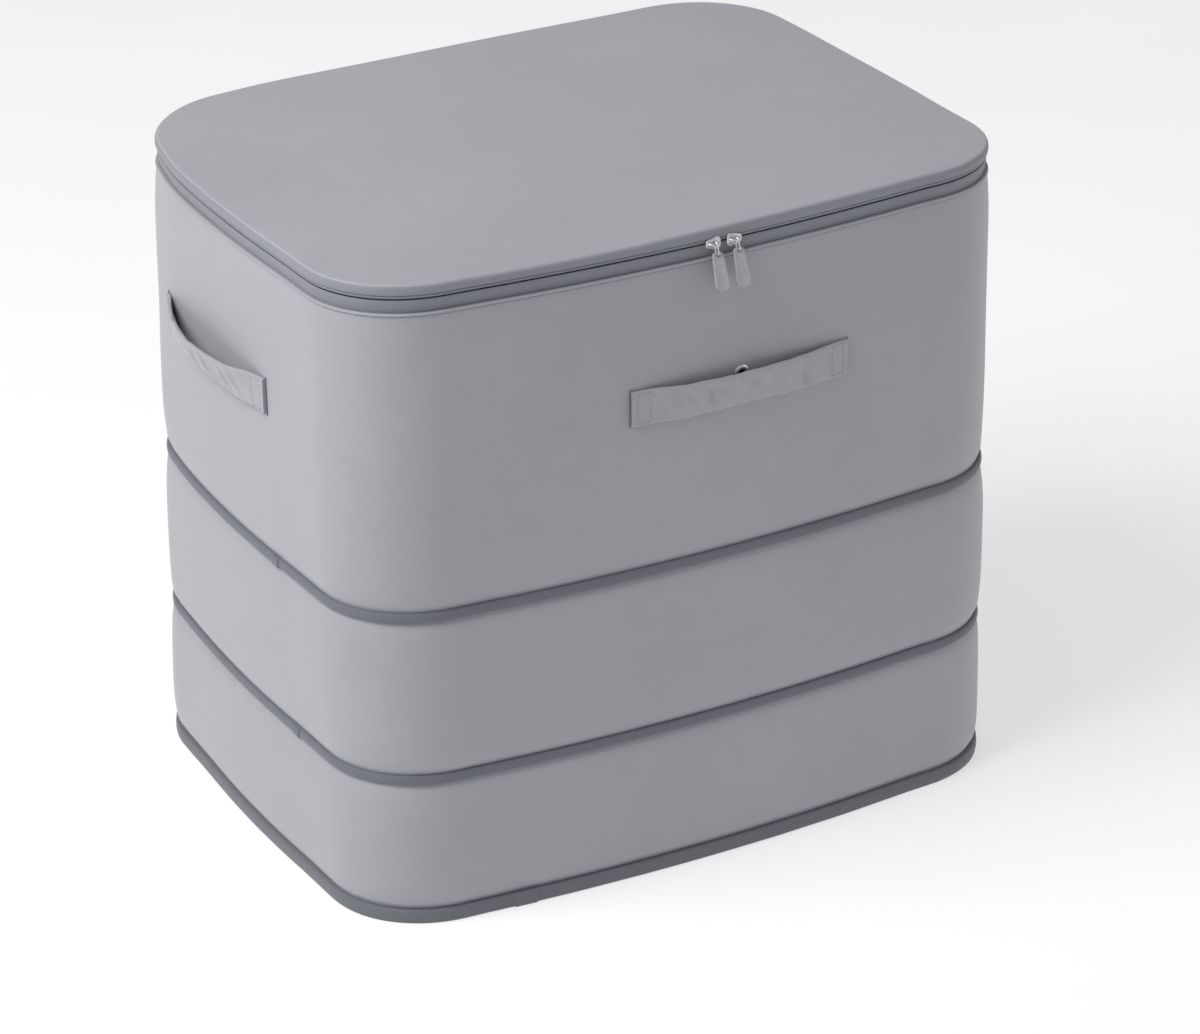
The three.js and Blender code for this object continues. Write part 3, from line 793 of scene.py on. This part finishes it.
# name, low, high, inner face, outer face, crown, seed, body, the nodes it stands for
TAPES = [
    ("base_rim_tape", 0.0, BASE_RIM_TOP, -4.2, 1.7, 0.5, 21, "base", ["base_rim_binding", "base_hoop"]),
    ("lower_band_tape", *LOWER_BAND, -3.0, 0.7, 0.5, 31, "middle", ["lower_band", "lower_band_hoop"]),
    ("upper_band_tape", *UPPER_BAND, -2.8, 0.9, 0.5, 41, "upper", ["upper_band", "upper_band_hoop"]),
    ("rim_inner_tape", *RIM_INSIDE, -6.0, -2.9, 0.1, 51, "upper", ["rim_binding", "rim_hoop"]),
    ("lid_inner_tape", *LID_SPAN, -6.0, -2.9, 0.0, 61, "lid", ["lid_binding", "lid_hoop"]),
]
for name, low, high, inner, outer, crown, seed, body, nodes in TAPES:
    tape = make_tape(name, low, high, inner * MM, outer * MM, crown * MM, seed)
    dress(tape, binding_tape, body, nodes)


# --- zip tapes and the cloth hinge

# each profile is (out, height) pairs in mm
BODY_TAPE = [(-1.3, 433), (-1.3, 440), (-0.95, 442), (-0.45, 444.5), (-0.1, 446.6)]
BODY_TAPE += [(0.0, 448.0), (-0.3, 448.9)]
LID_TAPE = [(-0.3, 450.0), (0.15, 450.3), (0.35, 451.2), (0.15, 452.0), (-0.7, 452.7)]
LID_TAPE += [(-1.2, 453.6), (-1.25, 456.4)]
HINGE_LOW = [(-0.2, 433), (-0.2, 438), (0.0, 441), (0.1, 445), (0.0, 449.4)]
HINGE_HIGH = [(0.0, 449.6), (0.1, 451), (-0.2, 452.5), (-1.1, 453.4), (-1.25, 456.4)]
ZIP_START = HINGE_HALF
ZIP_END = ROUND - HINGE_HALF


def thin_strip(name, start, end, points, count, thickness, seed):
    def section(s):
        drift = 0.15 * MM * soft_noise(s, 0, 0.05, seed)
        return [(out * MM + drift, z * MM) for out, z in points]

    strip = part_strip(name, start, end, section, count)
    modify(strip, "SOLIDIFY", thickness=thickness, offset=-1)
    smooth(strip, 60)
    return strip


body_tape = thin_strip("body_zip_tape_cloth", ZIP_START, ZIP_END, BODY_TAPE, 300, 0.5 * MM, 5)
lid_zip = thin_strip("lid_zip_tape_cloth", ZIP_START, ZIP_END, LID_TAPE, 300, 0.5 * MM, 6)
hinge_low = thin_strip("hinge_cloth_low", -HINGE_HALF, HINGE_HALF, HINGE_LOW, 48, 1.0 * MM, 7)
hinge_high = thin_strip("hinge_cloth_high", -HINGE_HALF, HINGE_HALF, HINGE_HIGH, 48, 1.0 * MM, 8)
dress(body_tape, zip_tape, "upper", ["body_zip_tape"])
dress(lid_zip, zip_tape, "lid", ["lid_zip_tape"])
dress(hinge_low, bin_cloth, "upper", ["hinge_gusset_body"])
dress(hinge_high, bin_cloth, "lid", ["hinge_gusset_lid"])


# --- lid

LID_ROUND = 1.8 * MM
LID_DOME = 4.0 * MM
LID_RINGS = 24
LID_COLUMNS = 300
LID_CLOTH = 1.4 * MM


def lid_edge_height(s):
    """The lid's edge isn't quite level along the front."""
    x = front_s(0) - s
    lift = 0.8 * MM * hill(x, 60 * MM, 130 * MM) - 0.8 * MM * hill(x, -110 * MM, 120 * MM)
    return LID_TOP - 0.5 * MM + lift + 0.5 * MM * soft_noise(s, 0, 0.14, 4)


def lid_drift(s):
    """How far the lid's side leans: pressed in along the right."""
    return 0.5 * MM * soft_noise(s, 0, 0.12, 6) - 3.5 * MM * hill(s, right_s(20 * MM), 130 * MM)


def lid_side(s):
    """(out, height) pairs from the lid's hem up its side and round its edge."""
    edge = lid_edge_height(s)
    drift = lid_drift(s)
    points = []
    for i in range(5):
        share = i / 4
        swell = 0.5 * MM * math.sin(math.pi * share)
        points.append((0.5 * MM + swell + drift * share, LID_HEM + (edge - LID_ROUND - LID_HEM) * share))
    out = points[-1][0]
    for i in range(1, 7):
        angle = math.pi / 2 * i / 6
        height = edge - LID_ROUND * (1 - math.sin(angle))
        points.append((out - LID_ROUND * (1 - math.cos(angle)), height))
    return points


def lid_height(x, y, edge, share):
    """Height of the lid's top, where share runs from 0 at the edge to 1 in the middle."""
    dome = LID_DOME * (1 - (1 - share) ** 2.2)
    waves = 1.5 * MM * noise.noise(Vector((x / 0.19, y / 0.16, 2.0))) * ease(share * 3)
    fine = 0.4 * MM * noise.noise(Vector((x / 0.07, y / 0.06, 5.0))) * ease(share * 4)
    return edge + (LID_TOP - edge) * ease(share * 2.5) + dome + waves + fine


def lid_column(s):
    side = lid_side(s)
    column = [spot(s, *pair) for pair in side]
    start = column[-1]
    for i in range(1, LID_RINGS + 1):
        share = (i / LID_RINGS) ** 1.15
        x, y = start.x * (1 - share), start.y * (1 - share)
        column.append(Vector((x, y, lid_height(x, y, side[-1][1], share))))
    return column


def make_lid():
    lid = weave_sheet("lid_cloth", [lid_column(ROUND * i / LID_COLUMNS) for i in range(LID_COLUMNS + 1)])
    rules = []
    for vertex in lid.data.vertices:
        spare = max(0, LID_TOP - vertex.co.z) if vertex.co.z < LID_TOP - LID_ROUND else 0
        flat = vertex.co.xy
        rules.append(tuple(flat + flat.normalized() * spare if flat.length > 0 else flat))
    cloth_map(lid, rules)
    modify(lid, "SOLIDIFY", thickness=LID_CLOTH, offset=-1)
    smooth(lid, 60)
    return lid


dress(make_lid(), bin_cloth, "lid", ["lid_panel", "lid_gusset"])

LID_EDGE = [(0.7, 452.5), (1.15, 453.4), (1.3, 455.0), (1.25, 456.8), (0.85, 458.0), (0.1, 458.5)]


def make_lid_side_shade():
    """A darker strip round the lid's side and edge: painted shade on the lid's side."""

    def section(s):
        side = lid_side(s)
        lift = side[-1][1] - LID_TOP + 0.5 * MM
        low, high = LID_EDGE[0][1], LID_EDGE[-1][1]
        drift = lid_drift(s)
        points = []
        for out, z in LID_EDGE:
            share = (z - low) / (high - low)
            points.append((out * MM + drift * share, z * MM + lift * share))
        return points

    strip = round_strip("lid_side_shade_strip", section, 320)
    modify(strip, "SOLIDIFY", thickness=0.5 * MM, offset=-1)
    smooth(strip, 60)
    return strip


dress(make_lid_side_shade(), lid_side_shade, "lid")


# --- floor of the bin


FLOOR_RINGS = 14


def make_floor_panel(name, out, height, thickness, waves):
    def column(s):
        start = spot(s, out, height)
        points = [start]
        for i in range(1, FLOOR_RINGS + 1):
            share = i / FLOOR_RINGS
            x, y = start.x * (1 - share), start.y * (1 - share)
            ripple = 0.5 + noise.noise(Vector((x / 0.09, y / 0.09, height * 100)))
            lift = waves * ripple * ease(share * 5)
            points.append(Vector((x, y, height + max(0, lift))))
        return points

    panel = weave_sheet(name, [column(ROUND * i / 120) for i in range(121)])
    cloth_map(panel, [tuple(v.co.xy) for v in panel.data.vertices])
    modify(panel, "SOLIDIFY", thickness=thickness, offset=-1)
    smooth(panel, 50)
    return panel


base_lining = make_floor_panel("base_lining_cloth", -5.0 * MM, 6.2 * MM, 0.8 * MM, 0.7 * MM)
base_panel = make_floor_panel("base_panel_cloth", -4.3 * MM, 1.6 * MM, 1.3 * MM, 0.0)
dress(base_lining, floor_lining, "base", ["base_lining"])
dress(base_panel, bin_cloth, "base", ["base_panel"])


# --- handles

STRAP_THICKNESS = 2.4 * MM
STRAP_HALF = 81.5 * MM
STRAP_SAG = 1.2 * MM
STRAP_LOW, STRAP_HIGH = heights_of("front_handle_grip")
STRAP_MIDDLE = (STRAP_LOW + STRAP_HIGH) / 2
STRAP_HEIGHT = STRAP_HIGH - STRAP_LOW
GRIP_HALF = 36 * MM
STRAP_STEPS = 48
FACE_STEPS = 8
ROUNDED_EDGE = [(0.985, 0.82), (1.0, 0.5), (0.985, 0.18)]


def strap_stand(u, bow):
    """How far the strap's inner face stands off the wall: flat where sewn, bowed between."""
    share = max(0, 1 - (u / (STRAP_HALF - 5 * MM)) ** 2)
    return 0.3 * MM + bow * share**1.15


def strap_point(s_middle, u, across, through, bow, seed):
    """across goes from -1 at the strap's lower edge to 1 at its upper, through from 0 in to 1 out."""
    free = ease((STRAP_HALF - 14 * MM - abs(u)) / (25 * MM))
    crease = 2.8 * MM * noise.noise(Vector((u / 0.010 + across * 0.9, across * 0.7, seed)))
    crease += 1.7 * MM * noise.noise(Vector((u / 0.0055 + across * 0.5, across * 0.4, seed + 5)))
    pucker = 0.25 * MM * noise.noise(Vector((u / 0.006, across * 0.5, seed + 8)))
    height = STRAP_MIDDLE + across * STRAP_HEIGHT / 2 - STRAP_SAG * free
    height += 0.7 * MM * noise.noise(Vector((u / 0.03, across * 2, seed + 3))) * free
    wall = upper_wall_out(s_middle - u, height)
    stand = strap_stand(u, bow * (0.6 + 0.4 * across))
    out = wall + stand + crease * free * (1 - 0.75 * across * across) + pucker
    return spot(s_middle - u, out + through * STRAP_THICKNESS, height)


def strap_loop():
    """(across, through) pairs once round the strap's section, its long edges rounded."""
    half = [(-0.94 + 1.88 * i / FACE_STEPS, 1.0) for i in range(FACE_STEPS + 1)] + ROUNDED_EDGE
    loop = half + [(-across, 1 - through) for across, through in half]
    return loop + [loop[0]]


def make_strap_half(name, s_middle, side, bow, seed, stands_for):
    """Half a strap: flat on the wall at its end and bowed out between, towards the grip."""
    loop = strap_loop()
    columns = []
    for i in range(STRAP_STEPS + 1):
        u = side * STRAP_HALF * i / STRAP_STEPS
        columns.append([strap_point(s_middle, u, *pair, bow, seed) for pair in loop])
    strap = weave_sheet(name, columns)
    close_ends(strap)
    smooth(strap, 60)
    dress(strap, bin_cloth, None, stands_for)
    fixed = spot(s_middle - side * (GRIP_HALF + 22 * MM), 0, STRAP_MIDDLE)
    free = spot(s_middle - side * (GRIP_HALF - 12 * MM), 0, STRAP_MIDDLE)
    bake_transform(strap)


def shadow_tube_at_strap_end(name, s_middle, side):
    """A dark tube along the strap's end: painted shadow at the edge where the end lies on the wall."""
    spare, half_width, proud = 1.5 * MM, 0.6 * MM, 1.3 * MM
    columns = []
    for i in range(25):
        height = STRAP_LOW - spare + (STRAP_HEIGHT + 2 * spare) * i / 24
        swell = math.sqrt(max(0.04, 1 - (2 * i / 24 - 1) ** 4))
        ring = []
        for k in range(11):
            angle = 2 * math.pi * k / 10
            s = s_middle - side * (STRAP_HALF + half_width) + half_width * swell * math.cos(angle)
            out = upper_wall_out(s, height) + proud * swell * math.sin(angle)
            ring.append(spot(s, out, height))
        columns.append(ring)
    end_shadow_tube = weave_sheet(name, columns)
    close_ends(end_shadow_tube)
    smooth(end_shadow_tube, 60)
    return end_shadow_tube


LEFT_S = left_s(18 * MM)
RIGHT_S = right_s(18 * MM)
FRONT_S = front_s(24 * MM)
FRONT_STRAP_BOW = 6 * MM
SIDE_STRAP_BOW = 15 * MM
# handle, place on the outline, bow, seed, and its halves in the order of side -1 and 1
HANDLES = [
    ("front", FRONT_S, FRONT_STRAP_BOW, 3, ("left", "right")),
    ("left", LEFT_S, SIDE_STRAP_BOW, 17, ("back", "front")),
    ("right", RIGHT_S, SIDE_STRAP_BOW, 29, ("front", "back")),
]
STRAPS = []
for handle, middle_s, strap_bow, strap_seed, halves in HANDLES:
    for strap_side, half in zip((-1, 1), halves):
        strap_name = f"{handle}_strap_{half}"
        nodes = [f"{handle}_handle_{half}_end"]
        if strap_side == -1:
            nodes.append(handle + "_handle_grip")
        make_strap_half(strap_name, middle_s, strap_side, strap_bow, strap_seed, nodes)
        end_shadow_tube = shadow_tube_at_strap_end(strap_name + "_end_shadow", middle_s, strap_side)
        # painted shadow: the end tubes wear the dark tape colour
        dress(end_shadow_tube, binding_tape, "upper")
        STRAPS.append((strap_name, middle_s, strap_side, strap_bow, strap_seed))


# --- stitches


def mesh_piece(name, points, faces):
    """A piece with the given points and faces."""
    mesh = bpy.data.meshes.new(name)
    mesh.from_pydata(points, [], faces)
    bpy.ops.mesh.primitive_plane_add(size=0.01)
    piece = start_piece(name)
    piece.data = mesh
    face_out(piece)
    return piece


def make_stitch(length, radius):
    """One stitch along x: a short rod with pinched ends."""
    flat = (0, math.pi / 2, 0)
    bpy.ops.mesh.primitive_cylinder_add(vertices=5, radius=radius, depth=length, rotation=flat)
    stitch = start_piece("stitch")
    settle(stitch)
    edit(stitch)
    bpy.ops.mesh.subdivide(number_cuts=1)
    leave_edit()
    for vertex in stitch.data.vertices:
        t = abs(vertex.co.x) / (length / 2)
        vertex.co.y *= 1 - 0.45 * t
        vertex.co.z = vertex.co.z * (1 - 0.45 * t) - 0.35 * radius * t * t
    return stitch


def stitch_mesh(length, radius):
    stitch = make_stitch(length, radius)
    points = [v.co.copy() for v in stitch.data.vertices]
    faces = [list(p.vertices) for p in stitch.data.polygons]
    bpy.data.objects.remove(stitch)
    return points, faces


def lay_stitches(name, places, length=2.8 * MM, radius=0.22 * MM):
    """One mesh of many stitches: places are (point, way along, way out)."""
    points, faces = stitch_mesh(length, radius)
    all_points, all_faces = [], []
    for at, along, out in places:
        along = along.normalized()
        out = (out - along * out.dot(along)).normalized()
        aside = out.cross(along)
        first = len(all_points)
        for p in points:
            all_points.append(at + along * p.x + aside * p.y + out * p.z)
        all_faces += [[first + k for k in face] for face in faces]
    row = mesh_piece(name, all_points, all_faces)
    smooth(row, 60)
    return row


STITCH_PITCH = 3.6 * MM
HEM_STITCH_HEIGHT = WALL_TOP - 2.2 * MM


def on_hem(s):
    return spot(s, upper_wall_out(s, HEM_STITCH_HEIGHT) + 0.05 * MM, HEM_STITCH_HEIGHT)


def hem_stitches():
    count = round(ROUND / STITCH_PITCH)
    places = []
    for i in range(count):
        s = ROUND * (i + 0.5) / count
        at = on_hem(s)
        places.append((at, on_hem(s + 0.5 * MM) - at, outline(s)[1].to_3d()))
    return lay_stitches("hem_stitches", places)


dress(hem_stitches(), thread, "upper")


def strap_stitches(name, s_middle, side, bow, seed):
    """A sewn box at the strap's end: two rows across and one along each edge."""
    places = []
    for u in (STRAP_HALF - 4 * MM, STRAP_HALF - 13 * MM):
        for i in range(7):
            across = -0.8 + 1.6 * i / 6
            at = strap_point(s_middle, side * u, across, 1.02, bow, seed)
            ahead = strap_point(s_middle, side * u, across + 0.05, 1.02, bow, seed)
            places.append((at, ahead - at, outline(s_middle - side * u)[1].to_3d()))
    for across in (-0.85, 0.85):
        for i in range(3):
            u = side * (STRAP_HALF - 5.5 * MM - 3 * MM * i)
            at = strap_point(s_middle, u, across, 1.02, bow, seed)
            ahead = strap_point(s_middle, u - side * 0.5 * MM, across, 1.02, bow, seed)
            places.append((at, ahead - at, outline(s_middle - u)[1].to_3d()))
    return lay_stitches(name, places, length=2.4 * MM, radius=0.2 * MM)


for strap_name, *strap_place in STRAPS:
    dress(strap_stitches(strap_name + "_stitches", *strap_place), thread, "upper")


# --- zip coils


COIL_PITCH, COIL_WIRE = 1.5 * MM, 0.28 * MM
COIL_TURN = [(-0.75, -1.6), (-0.75, 0.9), (-1.6, 1.5), (-2.45, 0.9), (-2.45, -1.6)]  # mm, behind its tape


def make_coil(name, middle_height, up, shift, body):
    """One side's coil; up is 1 on the body's side and -1 on the lid's."""
    pitch, wire = COIL_PITCH, COIL_WIRE
    ring = [(math.cos(angle), math.sin(angle)) for angle in (0, math.pi / 2, math.pi, 3 * math.pi / 2)]
    path = [(out * MM, rise * up * MM) for out, rise in COIL_TURN]
    count = int((ZIP_END - ZIP_START) / pitch)
    points, faces = [], []
    for i in range(count):
        s = ZIP_START + (i + 0.5 + shift) * pitch
        first = len(points)
        for k, (out, rise) in enumerate(path):
            before, after = path[max(0, k - 1)], path[min(len(path) - 1, k + 1)]
            way = Vector((after[0] - before[0], after[1] - before[1])).normalized()
            for a, b in ring:
                height = middle_height + rise + way.x * b * wire
                points.append(spot(s + a * wire, out - way.y * b * wire, height))
        for k in range(len(path) - 1):
            for j in range(4):
                near, far = first + 4 * k, first + 4 * k + 4
                faces.append([near + j, near + (j + 1) % 4, far + (j + 1) % 4, far + j])
        faces.append([first + 3, first + 2, first + 1, first])
        last = first + 4 * (len(path) - 1)
        faces.append([last, last + 1, last + 2, last + 3])
    coil = mesh_piece(name, points, faces)
    smooth(coil, 80)
    dress(coil, nylon_coil, body, [name.replace("_teeth", "")])


make_coil("body_zip_coil_teeth", 448.0 * MM, 1, 0.0, "upper")
make_coil("lid_zip_coil_teeth", 451.0 * MM, -1, 0.5, "lid")


# --- sliders, links and tabs

SLIDER_CENTRES = {"left": 4.25 * MM, "right": 19.75 * MM}
CROWN_OUT = 5.0 * MM
PULL_REST = math.radians(20)
LINK_REACH = 4.6 * MM


def arc_points(cx, cz, radius, start, end, count):
    points = []
    for i in range(count + 1):
        angle = math.radians(start + (end - start) * i / count)
        points.append((cx + radius * math.cos(angle), cz + radius * math.sin(angle)))
    return points


def make_ring(name, major, minor, **at):
    bpy.ops.mesh.primitive_torus_add(
        major_radius=major, minor_radius=minor, major_segments=40, minor_segments=14, **at
    )
    ring = start_piece(name)
    settle(ring)
    return ring


def make_slider(side):
    """At its own origin: x along the zip, -y out. The wide end is at +x."""
    wide, tail, half = 4.6 * MM, 3.0 * MM, 5.5 * MM
    front, crown_foot = -2.0 * MM, -1.6 * MM
    points = arc_points(half - 3.4 * MM, wide - 3.4 * MM, 3.4 * MM, 0, 80, 7)
    points += arc_points(-half + 2.3 * MM, tail - 2.3 * MM, 2.3 * MM, 100, 180, 6)
    points += [(x, -z) for x, z in reversed(points)]
    outer = slab("plate", points, front, -0.45 * MM, 0.5 * MM, 3)
    small = [(x * 0.82, z * 0.78) for x, z in points]
    inner = slab("inner", small, 3.2 * MM, 4.1 * MM, 0.3 * MM, 2)
    post_points = [(x * MM, z * MM) for x, z in ((4.2, 0.35), (1.6, 0.35), (1.6, -0.35), (4.2, -0.35))]
    post = slab("post", post_points, -1.0 * MM, 3.6 * MM, 0.12 * MM, 1)
    crown = make_ring("crown", 3.6 * MM, 0.75 * MM, location=(0, crown_foot, 0))
    for vertex in crown.data.vertices:
        depth = crown_foot - vertex.co.y
        vertex.co.y = crown_foot - depth * (0.78 if depth > 0 else 0.02)
        vertex.co.z *= 1.25
    slider = join_pieces(side + "_slider_body", [outer, inner, post, crown])
    smooth(slider, 40)
    return slider


def make_link(side):
    """A wire loop across the zip, hanging from the origin, which is on the crown's bar."""
    link = make_ring(side + "_link_loop", 2.1 * MM, 0.6 * MM, rotation=(0, math.pi / 2, 0))
    for vertex in link.data.vertices:
        if vertex.co.z < 0:
            vertex.co.z -= LINK_REACH
    smooth(link, 60)
    return link


def make_tab(side):
    """The tab hangs below the link: a tapered tongue with a raised rim and a slot for the link."""
    top, bottom = -4.75 * MM, -30.6 * MM
    narrow, wide = 3.8 * MM, 5.0 * MM
    points = arc_points(0, bottom + wide, wide, 180, 360, 14)
    points += arc_points(narrow - 2 * MM, top - 2 * MM, 2 * MM, 0, 90, 5)
    points += arc_points(-narrow + 2 * MM, top - 2 * MM, 2 * MM, 90, 180, 5)
    tab = slab(side + "_tab_tongue", points, -0.9 * MM, 0.9 * MM, 0.0)
    edit(tab, "FACE")
    bpy.ops.mesh.select_all(action="DESELECT")
    leave_edit()
    for polygon in tab.data.polygons:
        polygon.select = abs(polygon.normal.y) > 0.9
    bpy.ops.object.mode_set(mode="EDIT")
    bpy.ops.mesh.inset(thickness=0.9 * MM, use_individual=True)
    bpy.ops.mesh.inset(thickness=0.3 * MM, depth=-0.14 * MM, use_individual=True)
    leave_edit()
    bevel_edges(tab, 0.28 * MM, 2)
    slot_points = [(x * MM, z * MM) for x, z in ((1.1, -5.75), (-1.1, -5.75), (-1.1, -7.9), (1.1, -7.9))]
    cut_out(tab, slab("slot", slot_points, -3 * MM, 3 * MM))
    smooth(tab, 40)
    return tab


def slider_place(x):
    point, normal = outline(front_s(x))
    turn = math.atan2(normal.x, -normal.y)
    return Matrix.Translation(Vector((point.x, point.y, ZIP_LINE))) @ Matrix.Rotation(turn, 4, "Z")


for side, x in SLIDER_CENTRES.items():
    home = slider_place(x)
    facing = Matrix.Rotation(math.pi, 4, "Y") if side == "right" else Matrix.Identity(4)
    slider = place(make_slider(side), home @ facing)
    dress(slider, nickel, side + "_slider", [side + "_slider"])
    hang = home @ Matrix.Translation((0, -CROWN_OUT, 0)) @ Matrix.Rotation(-PULL_REST, 4, "X")
    link = place(make_link(side), hang)
    dress(link, nickel, side + "_pull", [side + "_pull_link"])
    tab = place(make_tab(side), hang)
    dress(tab, tab_plastic, side + "_pull", [side + "_pull_tab"])


# --- eyelet and zip stops


def make_eyelet():
    """A rolled ring through the wall with its washer behind, turned about its own axis."""
    profile = [(2.6, 3.0), (2.6, -0.2), (3.0, -0.9), (3.8, -1.15), (4.8, -0.95), (5.5, -0.2), (5.3, 0.1)]
    profile += [(3.2, 0.2), (3.2, 2.0), (5.3, 2.1), (5.5, 2.5), (4.6, 3.1), (3.4, 3.4), (2.6, 3.0)]
    steps = 40
    columns = []
    for i in range(steps + 1):
        angle = 2 * math.pi * i / steps
        columns.append([Vector((r * math.cos(angle), y, r * math.sin(angle))) * MM for r, y in profile])
    eyelet = weave_sheet("eyelet_ring", columns)
    smooth(eyelet, 50)
    point, normal = outline(EYELET_S)
    turn = math.atan2(normal.x, -normal.y)
    at = spot(EYELET_S, upper_wall_out(EYELET_S, EYELET_HEIGHT), EYELET_HEIGHT)
    return place(eyelet, Matrix.Translation(at) @ Matrix.Rotation(turn, 4, "Z"))


dress(make_eyelet(), nickel, "upper", ["vent_eyelet", "vent_washer"])


def make_stop(name, s):
    """A clamp at the zip's end."""
    at = spot(s, -1.7 * MM, ZIP_LINE - 1.4 * MM)
    bpy.ops.mesh.primitive_cube_add(size=1, location=at, scale=(3.6 * MM, 1.8 * MM, 2.4 * MM))
    stop = start_piece(name)
    settle(stop)
    modify(stop, "BEVEL", width=0.5 * MM, segments=3)
    smooth(stop, 50)
    return stop


for side, stop_s in (("left", ZIP_END - 2.3 * MM), ("right", ZIP_START + 2.3 * MM)):
    stop = make_stop(side + "_stop_clamp", stop_s)
    dress(stop, nickel, "upper", ["zip_stop_" + side])


# --- carried-over nodes

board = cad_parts["base_board"]
board.data.materials.clear()
board.data.materials.append(stiff_board)


# --- floor and light


SKY_COLOUR = (0.93, 0.955, 1, 1)
LAMP_COLOUR = (1, 0.985, 0.96)


def make_stage():
    bpy.ops.mesh.primitive_plane_add(size=14, location=(0, 3, 0))
    floor = start_piece("floor")
    settle(floor)
    material, tree, shader, places = start_finish("studio floor", Roughness=0.9, Specular_IOR_Level=0.1)
    tint = spread(tree, noise_field(tree, places["Object"], 3.0), 0.3, 0.7, 0.52, 0.54)
    feed(tree, shader.inputs["Base Color"], tint)
    shader.inputs["Emission Color"].default_value = (1, 1, 1, 1)
    shader.inputs["Emission Strength"].default_value = 0.5
    floor.data.materials.append(material)


def add_light(azimuth, elevation, distance, size, power, target=(0, 0, 0.25)):
    a, e = math.radians(azimuth), math.radians(elevation)
    back = Vector((math.sin(a) * math.cos(e), -math.cos(a) * math.cos(e), math.sin(e)))
    bpy.ops.object.light_add(type="AREA", location=Vector(target) + back * distance)
    light = bpy.context.object
    light.rotation_euler = (-back).to_track_quat("-Z", "Y").to_euler()
    light.data.shape = "DISK"
    light.data.size = size
    light.data.energy = power
    light.data.color = LAMP_COLOUR


def make_light():
    world = bpy.context.scene.world or bpy.data.worlds.new("studio")
    bpy.context.scene.world = world
    world.use_nodes = True
    sky = next(n for n in world.node_tree.nodes if n.type == "BACKGROUND")
    sky.inputs["Color"].default_value = SKY_COLOUR
    sky.inputs["Strength"].default_value = 0.41
    add_light(-88, 47, 2.8, 2.0, 72)
    add_light(66, 18, 3.0, 2.0, 13)


make_stage()
make_light()
bpy.context.scene.view_settings.view_transform = "Standard"
